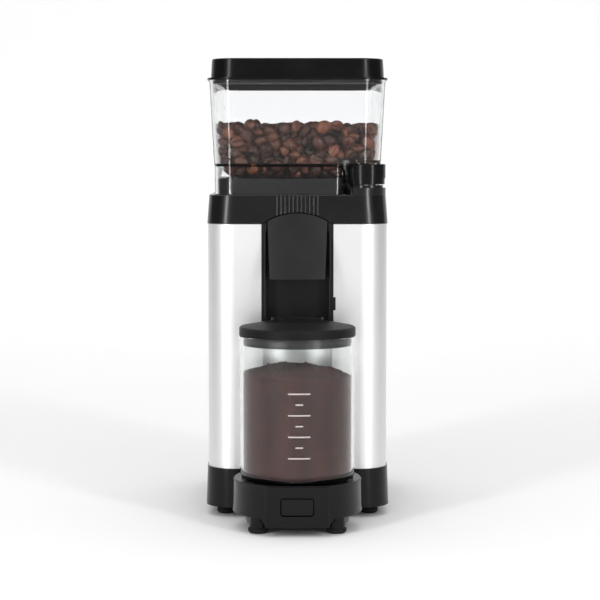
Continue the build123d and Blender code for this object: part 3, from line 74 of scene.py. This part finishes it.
class Maker:
    """Builds one material's node tree with short calls."""

    def __init__(self, name):
        self.material = bpy.data.materials.new(name)
        self.material.use_nodes = True
        self.tree = self.material.node_tree
        self.tree.nodes.clear()
        self.output = self.add("ShaderNodeOutputMaterial")
        self.position = self.add("ShaderNodeTexCoord").outputs["Object"]

    def add(self, kind, **settings):
        node = self.tree.nodes.new(kind)
        for key, value in settings.items():
            setattr(node, key, value)
        return node

    def link(self, out, into):
        self.tree.links.new(out, into)

    def principled(self, **values):
        node = self.add("ShaderNodeBsdfPrincipled")
        for key, value in values.items():
            node.inputs[key.replace("_", " ")].default_value = value
        self.link(node.outputs[0], self.output.inputs["Surface"])
        return node

    def noise(self, scale, detail=3.0, rough=0.5, stretch=(1, 1, 1)):
        mapping = self.add("ShaderNodeMapping")
        mapping.inputs["Scale"].default_value = stretch
        self.link(self.position, mapping.inputs["Vector"])
        node = self.add("ShaderNodeTexNoise")
        node.inputs["Scale"].default_value = scale
        node.inputs["Detail"].default_value = detail
        node.inputs["Roughness"].default_value = rough
        self.link(mapping.outputs[0], node.inputs["Vector"])
        return node.outputs["Fac"]

    def spread(self, value, low, high, source=(0.3, 0.7)):
        node = self.add("ShaderNodeMapRange")
        node.inputs["From Min"].default_value = source[0]
        node.inputs["From Max"].default_value = source[1]
        node.inputs["To Min"].default_value = low
        node.inputs["To Max"].default_value = high
        self.link(value, node.inputs["Value"])
        return node.outputs["Result"]

    def ramp(self, value, stops):
        node = self.add("ShaderNodeValToRGB")
        elements = node.color_ramp.elements
        while len(elements) < len(stops):
            elements.new(0.5)
        for element, (place, colour) in zip(elements, stops):
            element.position = place
            element.color = (*colour, 1.0)
        self.link(value, node.inputs["Fac"])
        return node.outputs["Color"]

    def bump(self, height, strength, distance, shader):
        node = self.add("ShaderNodeBump")
        node.inputs["Strength"].default_value = strength
        node.inputs["Distance"].default_value = distance
        self.link(height, node.inputs["Height"])
        self.link(node.outputs[0], shader.inputs["Normal"])

    def through_for_lamps(self, shader, tint):
        """Lets lamplight pass straight through, so what is inside is lit."""
        clear = self.add("ShaderNodeBsdfTransparent")
        clear.inputs["Color"].default_value = (*tint, 1.0)
        path = self.add("ShaderNodeLightPath")
        mix = self.add("ShaderNodeMixShader")
        self.link(path.outputs["Is Shadow Ray"], mix.inputs["Fac"])
        self.link(shader.outputs[0], mix.inputs[1])
        self.link(clear.outputs[0], mix.inputs[2])
        self.link(mix.outputs[0], self.output.inputs["Surface"])


# ---- Materials ---------------------------------------------------------------------------


def moulded_plastic(name, dark, light, rough, gloss=0.22, grain=1400.0, grain_depth=0.00004):
    """Satin moulded plastic with a fine spark-eroded grain and slight uneven gloss."""
    m = Maker(name)
    shader = m.principled(Specular_IOR_Level=gloss)
    cloudy = m.noise(38.0, 4.0, 0.55)
    m.link(m.ramp(cloudy, [(0.35, dark), (0.65, light)]), shader.inputs["Base Color"])
    m.link(m.spread(cloudy, rough - 0.04, rough + 0.05), shader.inputs["Roughness"])
    m.bump(m.noise(grain, 2.0, 0.6), 0.25, grain_depth, shader)
    return m.material


def polished_sheet(name):
    """Polished aluminium sheet with very faint vertical rolling marks."""
    m = Maker(name)
    shader = m.principled(Metallic=1.0)
    marks = m.noise(900.0, 2.0, 0.5, stretch=(1, 1, 0.02))
    smears = m.noise(9.0, 3.0, 0.5)
    tones = [(0.3, (0.80, 0.80, 0.805)), (0.7, (0.85, 0.85, 0.85))]
    m.link(m.ramp(smears, tones), shader.inputs["Base Color"])
    m.link(m.spread(smears, 0.42, 0.5), shader.inputs["Roughness"])
    m.bump(marks, 0.04, 0.00002, shader)
    return m.material


def turned_metal(name, dark, light, rough, metallic=1.0):
    """Machined or cast metal with a fine directional grain."""
    m = Maker(name)
    shader = m.principled(Metallic=metallic)
    grain = m.noise(300.0, 3.0, 0.6, stretch=(0.3, 0.3, 4.0))
    m.link(m.ramp(grain, [(0.3, dark), (0.7, light)]), shader.inputs["Base Color"])
    m.link(m.spread(grain, rough - 0.06, rough + 0.08), shader.inputs["Roughness"])
    m.bump(grain, 0.12, 0.00005, shader)
    return m.material


def clear_moulding(name, tint, rough, ior):
    """Clear plastic or glass; light reaches what is behind it."""
    m = Maker(name)
    shader = m.principled(Transmission_Weight=1.0, IOR=ior, Roughness=rough, Specular_IOR_Level=0.4)
    shader.inputs["Base Color"].default_value = (*tint, 1.0)
    flow = m.noise(22.0, 2.0, 0.5)
    m.bump(flow, 0.05, 0.0002, shader)
    m.through_for_lamps(shader, tint)
    return m.material


def bean_surface():
    """Roasted bean skin: tone from bean to bean, mottling, a dark crease and a little oil."""
    m = Maker("roasted_bean")
    shader = m.principled(Specular_IOR_Level=0.28)
    tone = m.add("ShaderNodeAttribute", attribute_name="bean_tone")
    mottle = m.noise(420.0, 4.0, 0.6)
    both = m.add("ShaderNodeMath", operation="MULTIPLY_ADD")
    m.link(mottle, both.inputs[0])
    both.inputs[1].default_value = 0.45
    m.link(tone.outputs["Fac"], both.inputs[2])
    colour = m.ramp(
        both.outputs[0],
        [
            (0.18, (0.012, 0.004, 0.0022)),
            (0.5, (0.045, 0.014, 0.0075)),
            (0.8, (0.1, 0.032, 0.015)),
            (1.0, (0.2, 0.06, 0.022)),
        ],
    )
    m.link(colour, shader.inputs["Base Color"])
    m.link(m.spread(mottle, 0.3, 0.5), shader.inputs["Roughness"])
    m.bump(m.noise(900.0, 3.0, 0.6), 0.4, 0.0002, shader)
    return m.material


def ground_surface():
    """Ground coffee: dark and light particles with lumps."""
    m = Maker("ground_coffee_bed")
    shader = m.principled(Specular_IOR_Level=0.25, Roughness=0.9)
    grain = m.noise(1100.0, 3.0, 0.7)
    lumps = m.noise(60.0, 5.0, 0.6, stretch=(1, 1, 0.3))
    both = m.add("ShaderNodeMath", operation="MULTIPLY_ADD")
    m.link(lumps, both.inputs[0])
    both.inputs[1].default_value = 0.5
    m.link(m.spread(grain, 0.1, 0.4), both.inputs[2])
    colour = m.ramp(
        both.outputs[0],
        [
            (0.25, (0.006, 0.002, 0.0014)),
            (0.5, (0.026, 0.0062, 0.0048)),
            (0.78, (0.105, 0.036, 0.028)),
        ],
    )
    m.link(colour, shader.inputs["Base Color"])
    m.bump(grain, 0.4, 0.0003, shader)
    return m.material


def print_ink():
    """White ceramic ink on the glass."""
    m = Maker("scale_ink")
    shader = m.principled(Roughness=0.5)
    worn = m.noise(600.0, 3.0, 0.6)
    tones = [(0.3, (0.52, 0.47, 0.45)), (0.7, (0.66, 0.6, 0.58))]
    m.link(m.ramp(worn, tones), shader.inputs["Base Color"])
    return m.material


def soft_floor():
    m = Maker("studio_floor")
    shader = m.principled(Roughness=0.85, Specular_IOR_Level=0.1)
    cloud = m.noise(1.5, 2.0, 0.5)
    tones = [(0.3, (0.88, 0.88, 0.88)), (0.7, (0.9, 0.9, 0.9))]
    m.link(m.ramp(cloud, tones), shader.inputs["Base Color"])
    return m.material


BLACK = ((0.0025, 0.0025, 0.0028), (0.0036, 0.0036, 0.004))
SOFT_BLACK = ((0.008, 0.008, 0.0085), (0.012, 0.012, 0.013))

FINISHES = {
    "body_black": moulded_plastic("body_black", *BLACK, 0.2),
    "chute_black": moulded_plastic("chute_black", *SOFT_BLACK, 0.36),
    "lid_black": moulded_plastic("lid_black", *BLACK, 0.22),
    "knob_black": moulded_plastic("knob_black", *BLACK, 0.2),
    "band_black": moulded_plastic("band_black", *BLACK, 0.2, 0.5),
    "jar_lid_black": moulded_plastic("jar_lid_black", *SOFT_BLACK, 0.45, 0.1),
    "shell_metal": polished_sheet("shell_metal"),
    "hopper_clear": clear_moulding("hopper_clear", (0.975, 0.98, 0.985), 0.0, 1.34),
    "jar_glass": clear_moulding("jar_glass", (0.975, 0.985, 0.98), 0.0, 1.34),
    "foot_rubber": moulded_plastic("foot_rubber", (0.008, 0.008, 0.008), (0.014, 0.014, 0.014), 0.7),
    "seal_rubber": moulded_plastic("seal_rubber", (0.006, 0.006, 0.0065), (0.01, 0.01, 0.0105), 0.45),
    "burr_steel": turned_metal("burr_steel", (0.5, 0.5, 0.51), (0.68, 0.68, 0.68), 0.3),
    "bright_steel": turned_metal("bright_steel", (0.6, 0.6, 0.61), (0.76, 0.76, 0.76), 0.25),
    "motor_steel": turned_metal("motor_steel", (0.2, 0.21, 0.22), (0.3, 0.31, 0.32), 0.45, 0.7),
    "core_iron": turned_metal("core_iron", (0.12, 0.11, 0.1), (0.24, 0.22, 0.21), 0.55, 0.8),
    "copper_bar": turned_metal("copper_bar", (0.6, 0.3, 0.16), (0.78, 0.44, 0.26), 0.3),
    "inner_plastic": moulded_plastic("inner_plastic", (0.55, 0.53, 0.47), (0.66, 0.63, 0.57), 0.5),
    "board_green": moulded_plastic("board_green", (0.01, 0.08, 0.03), (0.02, 0.14, 0.05), 0.4),
}

# Nodes that look different from the rest of their material slot
NODE_FINISHES = {"top_housing": "band_black", "jar_lid": "jar_lid_black"}


def dress_nodes():
    """Gives each CAD node the finish of its material slot."""
    for part in frame["record"]["subparts"]:
        slot = NODE_FINISHES.get(part["node"], part["material_slot"])
        finish = FINISHES.get(slot)
        node = NODES.get(part["node"])
        if finish is None or node is None:
            continue
        if not node.data.materials:
            node.data.materials.append(finish)
        for index in range(len(node.data.materials)):
            node.data.materials[index] = finish


# ---- Mesh helpers ------------------------------------------------------------------------


def mesh_piece(name, vertices, faces, material, smooth=True):
    """A new object from lists of points and faces."""
    mesh = bpy.data.meshes.new(name)
    mesh.from_pydata([tuple(v) for v in vertices], [], [tuple(f) for f in faces])
    mesh.validate()
    mesh.materials.append(material)
    if smooth:
        mesh.polygons.foreach_set("use_smooth", [True] * len(mesh.polygons))
    piece = bpy.data.objects.new(name, mesh)
    bpy.context.scene.collection.objects.link(piece)
    return piece


def middle(node):
    low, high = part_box(node)
    return [(a + b) / 2 for a, b in zip(low, high)]


# ---- Beans -------------------------------------------------------------------------------


def bean_shape():
    """Points and faces of one bean, 1 long on X, its flat creased side facing -Z."""
    around = [0, 7, 14, 24, 42, 65, 90, 120, 150, 180]
    angles = [math.radians(a) for a in around] + [math.radians(360 - a) for a in around[-2:0:-1]]
    stations = 11
    points = [(-0.5, 0.0, 0.0)]
    for step in range(1, stations):
        lean = math.pi * step / stations
        x = -0.5 * math.cos(lean)
        girth = math.sin(lean) ** 0.86
        for a in angles:
            y = 0.41 * girth * math.sin(a)
            down = math.cos(a)
            z = -0.36 * girth * down
            if down > 0:
                z = -0.2 * girth * down**0.55
            crease = math.exp(-((math.degrees(min(a, 2 * math.pi - a)) / 9.0) ** 2))
            z += 0.075 * crease * girth
            y += 0.012 * crease * math.sin(3.0 * x * math.pi)
            points.append((x, y, z))
    points.append((0.5, 0.0, 0.0))
    n = len(angles)
    faces = []
    for k in range(n):
        faces.append((0, 1 + (k + 1) % n, 1 + k))
    for row in range(stations - 2):
        a = 1 + row * n
        b = a + n
        for k in range(n):
            k2 = (k + 1) % n
            faces.append((a + k, a + k2, b + k2, b + k))
    last = 1 + (stations - 2) * n
    end = len(points) - 1
    for k in range(n):
        faces.append((last + k, last + (k + 1) % n, end))
    return np.array(points), faces


def in_bay(xs, ys, reach):
    """True round the knob, in the bay that is open to the front and the right."""
    dx = xs - CAD["knob"][0]
    dy = ys - CAD["knob"][1]
    square = (dx > -reach) & (dy < reach)
    round_corner = (dx < 0) & (dy > 0) & (np.hypot(dx, dy) > reach)
    return square & ~round_corner


def hopper_floor(xs, ys):
    """Height of the hopper's inner surface at each grid point; high where beans can't be."""
    corner = CAD["corner"]
    qx = np.abs(xs) - (CAD["half_x"] - corner)
    qy = np.abs(ys - CAD["mid_y"]) - (CAD["half_y"] - corner)
    outside = np.hypot(np.maximum(qx, 0), np.maximum(qy, 0)) + np.minimum(np.maximum(qx, qy), 0) - corner
    inside = -outside
    # A steep edge to the shoulder, then a flatter fall to the throat
    step = CAD["shoulder"]
    shoulder_z = CAD["bed"] - CAD["shoulder_drop"]
    past = np.maximum(inside - step, 0)
    hole = np.maximum(np.hypot(xs - CAD["throat"][0], ys - CAD["throat"][1]) - CAD["throat_r"], 0)
    share = hole / (hole + past + 1e-6)
    bowl = CAD["throat_z"] + (shoulder_z - CAD["throat_z"]) * share
    floor = np.where(inside < step, CAD["bed"] - CAD["shoulder_drop"] * inside / step, bowl)
    # The walls lean outwards above the bed
    floor = np.where(outside > 0, CAD["bed"] + outside / CAD["lean"], floor)
    behind = in_bay(xs, ys, CAD["knob_reach"] + 0.0052)
    floor = np.where(behind, np.maximum(floor, CAD["plinth_top"] + 0.003), floor)
    bay = in_bay(xs, ys, CAD["knob_reach"])
    return np.where(bay, np.maximum(floor, CAD["knob_top"]), floor)


def box_facts():
    """Sizes of the hopper's inside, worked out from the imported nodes."""
    low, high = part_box("coffee_beans")
    knob_low, knob_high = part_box("grind_knob")
    ring = middle("adjust_ring")
    bed_share = 0.373
    bed = low[2] + (high[2] - low[2]) * bed_share
    lean = 0.0542
    drop = (high[2] - bed) * lean
    return {
        "low": low,
        "high": high,
        "bed": bed,
        "lean": lean,
        "half_x": (high[0] - low[0]) / 2 - drop + 0.0003,
        "half_y": (high[1] - low[1]) / 2 - drop + 0.0003,
        "mid_y": (low[1] + high[1]) / 2,
        "corner": 0.0148,
        "shoulder": 0.012,
        "shoulder_drop": 0.0095,
        "throat": (ring[0], ring[1]),
        "throat_r": 0.0155,
        "throat_z": low[2],
        "plinth_top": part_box("top_housing")[1][2],
        "knob": ((knob_low[0] + knob_high[0]) / 2, (knob_low[1] + knob_high[1]) / 2),
        "knob_reach": (knob_high[0] - knob_low[0]) / 2 + 0.0037,
        "knob_top": knob_high[2] + 0.0032,
    }


CAD = box_facts()


def heap_rise(x, y):
    """The heap stands a little higher towards the front left."""
    rise = 0.0045
    peak = (-0.036, -0.02)
    width = (0.014, 0.03)
    return rise * math.exp(-(((x - peak[0]) / width[0]) ** 2) - ((y - peak[1]) / width[1]) ** 2)


def random_turn(rng):
    """Any heading and roll, with a small pitch."""
    yaw = rng.uniform(0, 2 * math.pi)
    roll = rng.uniform(0, 2 * math.pi)
    pitch = rng.normal(0, 0.45)
    heading = Matrix.Rotation(yaw, 3, "Z") @ Matrix.Rotation(pitch, 3, "Y")
    return heading @ Matrix.Rotation(roll, 3, "X")


def settle(x, y, turn, size, grid, heights):
    """Where an ellipsoid comes to rest: its height, grid window, cells under it and its top."""
    xs, ys, gx, gy = grid
    radii = np.array(BEAN_RADII) * size
    spin = np.array(turn)
    spread = spin @ np.diag(radii**2) @ spin.T
    reach_x = math.sqrt(spread[0, 0])
    reach_y = math.sqrt(spread[1, 1])
    i0, i1 = np.searchsorted(xs, [x - reach_x, x + reach_x])
    j0, j1 = np.searchsorted(ys, [y - reach_y, y + reach_y])
    window = (slice(i0, i1), slice(j0, j1))
    dx = gx[window] - x
    dy = gy[window] - y
    if dx.size == 0:
        return None
    inverse = np.linalg.inv(spread)
    a = inverse[2, 2]
    b = inverse[0, 2] * dx + inverse[1, 2] * dy
    c = inverse[0, 0] * dx**2 + 2 * inverse[0, 1] * dx * dy + inverse[1, 1] * dy**2 - 1
    root = b**2 - a * c
    inside = root > 0
    if not inside.any():
        return None
    deep = np.sqrt(np.where(inside, root, 0))
    under = (-b - deep) / a
    over = (-b + deep) / a
    z = np.max(np.where(inside, heights[window] - under, -1))
    return z, window, inside, over


def drop_beans():
    """Drops beans one by one where they come to lie lowest. Returns their places and turns."""
    rng = np.random.default_rng(BEAN_SEED)
    cell = 0.001
    pad = 0.006
    nestle = 0.0006
    xs = np.arange(CAD["low"][0] - pad, CAD["high"][0] + pad, cell)
    ys = np.arange(CAD["low"][1] - pad, CAD["high"][1] + pad, cell)
    grid = (xs, ys, *np.meshgrid(xs, ys, indexing="ij"))
    heights = hopper_floor(grid[2], grid[3])
    level = CAD["high"][2] - 0.003
    beans = []
    tries = 14
    misses = 0
    limit = 40
    while misses < limit and len(beans) < BEAN_LIMIT:
        best = None
        size = BEAN_LENGTH * rng.uniform(0.86, 1.12)
        for _ in range(tries):
            x = rng.uniform(CAD["low"][0], CAD["high"][0])
            y = rng.uniform(CAD["low"][1], CAD["high"][1])
            turn = random_turn(rng)
            rest = settle(x, y, turn, size, grid, heights)
            if rest is not None and (best is None or rest[0] < best[3][0]):
                best = (x, y, turn, rest)
        if best is None:
            continue
        x, y, turn, (z, window, inside, over) = best
        if z > level + heap_rise(x, y):
            misses += 1
            continue
        # Beans nestle: the next one may sink a little into the gaps beside this one
        sunk = z + over - nestle
        heights[window] = np.where(inside, np.maximum(heights[window], sunk), heights[window])
        beans.append(((x, y, z), turn, size))
    return beans, rng


def pour_beans():
    """The heap of beans as two pieces, front and back, riding on the hopper."""
    points, faces = bean_shape()
    beans, rng = drop_beans()
    print("beans", len(beans))
    groups = {"beans_front": [], "beans_back": []}
    for bean in beans:
        groups["beans_front" if bean[0][1] < CAD["mid_y"] else "beans_back"].append(bean)
    surface = bean_surface()
    for name, members in groups.items():
        all_points = []
        all_faces = []
        tones = []
        for place, turn, size in members:
            start = len(all_points) * len(points)
            wide = rng.uniform(0.92, 1.08)
            shaped = points * np.array([1.0, wide, rng.uniform(0.92, 1.1)]) * size
            all_points.append(shaped @ np.array(turn).T + np.array(place))
            all_faces.extend(tuple(v + start for v in face) for face in faces)
            tones.extend([rng.uniform(0.02, 0.62)] * len(points))
        piece = mesh_piece(name, np.concatenate(all_points), all_faces, surface)
        attribute = piece.data.attributes.new("bean_tone", "FLOAT", "POINT")
        attribute.data.foreach_set("value", tones)
        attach(piece, "hopper")
        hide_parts("coffee_beans")


# ---- Ground coffee -----------------------------------------------------------------------


def smooth_noise(rng, shape, coarse):
    """Random values on a coarse grid, blended up to the shape; wraps along the first axis."""
    small = rng.normal(0, 1, (coarse[0], coarse[1]))
    small = np.concatenate([small, small[:1]], axis=0)
    u = np.linspace(0, coarse[0], shape[0], endpoint=False)
    v = np.linspace(0, coarse[1] - 1, shape[1])
    i = u.astype(int)
    j = np.minimum(v.astype(int), coarse[1] - 2)
    fu = (u - i)[:, None]
    fv = (v - j)[None, :]
    fu = fu * fu * (3 - 2 * fu)
    fv = fv * fv * (3 - 2 * fv)
    a = small[i][:, j] * (1 - fv) + small[i][:, j + 1] * fv
    b = small[i + 1][:, j] * (1 - fv) + small[i + 1][:, j + 1] * fv
    return a * (1 - fu) + b * fu


def grounds_top(rng, s, a, peak):
    """Height of the poured surface; s is the share of the radius and a the angle."""
    mound = 0.0055 * np.exp(-((s / 0.7) ** 4)) - 0.0052
    tilt = 0.0014 * np.cos(a - 2.8) * s
    lumps = 0.0009 * smooth_noise(rng, s.shape, (14, 8))
    crumbs = 0.0005 * smooth_noise(rng, s.shape, (60, 26))
    rough = lumps + crumbs
    rough += 0.00018 * rng.normal(0, 1, s.shape)
    return peak + mound + tilt + rough


def grounds_profile(radius, foot):
    """Radius and share of the depth down the glass, then round the foot."""
    depth = 50
    foot_steps = 8
    profile = [(radius, step / depth) for step in range(1, depth + 1)]
    for step in range(1, foot_steps + 1):
        turn = math.pi / 2 * step / foot_steps
        profile.append((radius - foot * (1 - math.cos(turn)), 1.0 + math.sin(turn)))
    return profile


def pour_grounds():
    """A mounded bed of ground coffee against the glass, riding on the jar."""
    low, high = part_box("ground_coffee")
    centre = middle("ground_coffee")
    radius = (high[0] - low[0]) / 2
    rng = np.random.default_rng(GROUNDS_SEED)
    turns = 256
    rings = 90
    angles = np.linspace(0, 2 * math.pi, turns, endpoint=False)
    share = np.linspace(0, 1, rings + 1)[1:]
    a, s = np.meshgrid(angles, share, indexing="ij")
    top = grounds_top(rng, s, a, high[2])
    x = centre[0] + radius * s * np.cos(a)
    y = centre[1] + radius * s * np.sin(a)
    points = [(centre[0], centre[1], high[2] + 0.0003)]
    surface = np.stack([x, y, top], axis=-1).transpose(1, 0, 2)
    points += [tuple(p) for p in surface.reshape(-1, 3)]
    faces = [(0, 1 + k, 1 + (k + 1) % turns) for k in range(turns)]
    for ring in range(rings - 1):
        first = 1 + ring * turns
        for k in range(turns):
            k2 = (k + 1) % turns
            faces.append((first + k, first + turns + k, first + turns + k2, first + k2))
    # The side against the glass, down to the rounded foot
    foot = 0.0064
    uneven = 0.0009
    rim = top[:, -1]
    side_foot = low[2] + foot
    previous = 1 + (rings - 1) * turns
    for r, level in grounds_profile(radius, foot):
        first = len(points)
        for k in range(turns):
            inset = r * (1.0 - uneven * abs(rng.normal()))
            if level <= 1.0:
                z = rim[k] + (side_foot - rim[k]) * level
            else:
                z = side_foot - foot * (level - 1.0)
            side_x = centre[0] + inset * math.cos(angles[k])
            side_y = centre[1] + inset * math.sin(angles[k])
            points.append((side_x, side_y, z))
        for k in range(turns):
            k2 = (k + 1) % turns
            faces.append((previous + k, first + k, first + k2, previous + k2))
        previous = first
    points.append((centre[0], centre[1], low[2]))
    bottom = len(points) - 1
    faces += [(previous + k, bottom, previous + (k + 1) % turns) for k in range(turns)]
    piece = mesh_piece("grounds_bed", points, faces, ground_surface())
    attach(piece, "jar")
    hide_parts("ground_coffee")


# ---- Printed scale -----------------------------------------------------------------------


def jar_scale():
    """Printed level marks on the jar: long and short lines by turns."""
    low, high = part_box("glass_jar")
    centre = middle("glass_jar")
    film = 0.00006
    radius = (high[0] - low[0]) / 2 + film
    ink = 0.0001
    long_mark, short_mark = 0.0157, 0.0053
    first_mark = low[2] + 0.022
    pitch = 0.0152
    shift = math.radians(1.9)
    thick = 0.0009
    points = []
    faces = []
    for index in range(7):
        z = first_mark + index * pitch / 2
        length = short_mark if index % 2 else long_mark
        half = length / 2 / radius
        cells = 12
        begin = len(points)
        for step in range(cells + 1):
            angle = -math.pi / 2 + shift + half * (2 * step / cells - 1)
            for r in (radius, radius + ink):
                x = centre[0] + r * math.cos(angle)
                y = centre[1] + r * math.sin(angle)
                points += [(x, y, z - thick / 2), (x, y, z + thick / 2)]
        for step in range(cells):
            q = begin + step * 4
            n = q + 4
            faces += [
                (q + 2, n + 2, n + 3, q + 3),
                (q, q + 1, n + 1, n),
                (q + 1, q + 3, n + 3, n + 1),
                (q, n, n + 2, q + 2),
            ]
        end = begin + cells * 4
        faces += [(begin, begin + 2, begin + 3, begin + 1), (end, end + 1, end + 3, end + 2)]
    piece = mesh_piece("jar_scale", points, faces, print_ink(), smooth=False)
    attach(piece, "jar")


# ---- Studio ------------------------------------------------------------------------------


def lay_floor():
    """A pale floor that curves up into a backdrop far behind."""
    half = 6.0
    profile = [(-6.0, 0.0), (2.5, 0.0)]
    bend = 1.5
    for step in range(1, 13):
        turn = math.pi / 2 * step / 12
        profile.append((2.5 + bend * math.sin(turn), bend - bend * math.cos(turn)))
    profile.append((4.0, 6.0))
    points = []
    faces = []
    for y, z in profile:
        points += [(-half, y, z), (half, y, z)]
    for step in range(len(profile) - 1):
        q = 2 * step
        faces.append((q, q + 1, q + 3, q + 2))
    floor = mesh_piece("studio_sweep", points, faces, soft_floor())


def soft_light(name, place, target, size, power):
    light = bpy.data.lights.new(name, "AREA")
    light.shape = "RECTANGLE"
    light.size, light.size_y = size
    light.energy = power
    lamp = bpy.data.objects.new(name, light)
    bpy.context.scene.collection.objects.link(lamp)
    lamp.location = place
    aim = Vector(target) - Vector(place)
    lamp.rotation_euler = aim.to_track_quat("-Z", "Y").to_euler()


def light_studio():
    """A white room with darker sides, two tall soft boxes in front, one overhead, one behind."""
    world = bpy.data.worlds.new("studio")
    bpy.context.scene.world = world
    world.use_nodes = True
    tree = world.node_tree
    background = tree.nodes["Background"]
    place = tree.nodes.new("ShaderNodeTexCoord")
    apart = tree.nodes.new("ShaderNodeSeparateXYZ")
    tree.links.new(place.outputs["Generated"], apart.inputs[0])
    sideways = tree.nodes.new("ShaderNodeMath")
    sideways.operation = "ABSOLUTE"
    tree.links.new(apart.outputs["X"], sideways.inputs[0])
    shade = tree.nodes.new("ShaderNodeMapRange")
    shade.inputs["From Min"].default_value = 0.55
    shade.inputs["From Max"].default_value = 0.85
    shade.inputs["To Min"].default_value = ROOM_WHITE
    shade.inputs["To Max"].default_value = ROOM_SIDE
    tree.links.new(sideways.outputs[0], shade.inputs["Value"])
    behind_camera = tree.nodes.new("ShaderNodeMapRange")
    behind_camera.interpolation_type = "SMOOTHSTEP"
    behind_camera.inputs["From Min"].default_value = -1.0
    behind_camera.inputs["From Max"].default_value = -0.72
    behind_camera.inputs["To Min"].default_value = ROOM_FRONT
    behind_camera.inputs["To Max"].default_value = 1.0
    tree.links.new(apart.outputs["Y"], behind_camera.inputs["Value"])
    product = tree.nodes.new("ShaderNodeMath")
    product.operation = "MULTIPLY"
    tree.links.new(shade.outputs["Result"], product.inputs[0])
    tree.links.new(behind_camera.outputs["Result"], product.inputs[1])
    background.inputs["Color"].default_value = (1.0, 1.0, 1.0, 1.0)
    tree.links.new(product.outputs[0], background.inputs["Strength"])
    target = (0.0, 0.0, 0.18)
    soft_light("strip_left", (-0.96, -1.28, 0.6), target, (0.16, 1.5), 11.0)
    soft_light("strip_right", (0.96, -1.28, 0.6), target, (0.16, 1.5), 10.0)
    soft_light("top", (0.0, 0.1, 2.0), target, (1.6, 1.6), 4.0)
    soft_light("backdrop", (0.0, 1.4, 2.4), (0.0, 3.8, 1.0), (3.0, 1.0), 30.0)
    bpy.context.scene.view_settings.view_transform = "Standard"


def place_camera():
    camera = bpy.data.cameras.new("camera")
    camera.lens = FOCAL_MM
    camera.sensor_width = 36.0
    camera.clip_start = 0.05
    camera.clip_end = 50.0
    eye = bpy.data.objects.new("camera", camera)
    bpy.context.scene.collection.objects.link(eye)
    eye.location = CAMERA_PLACE
    eye.rotation_euler = (math.pi / 2 - CAMERA_PITCH, 0.0, 0.0)
    bpy.context.scene.camera = eye


dress_nodes()
pour_beans()
pour_grounds()
jar_scale()
lay_floor()
light_studio()
place_camera()
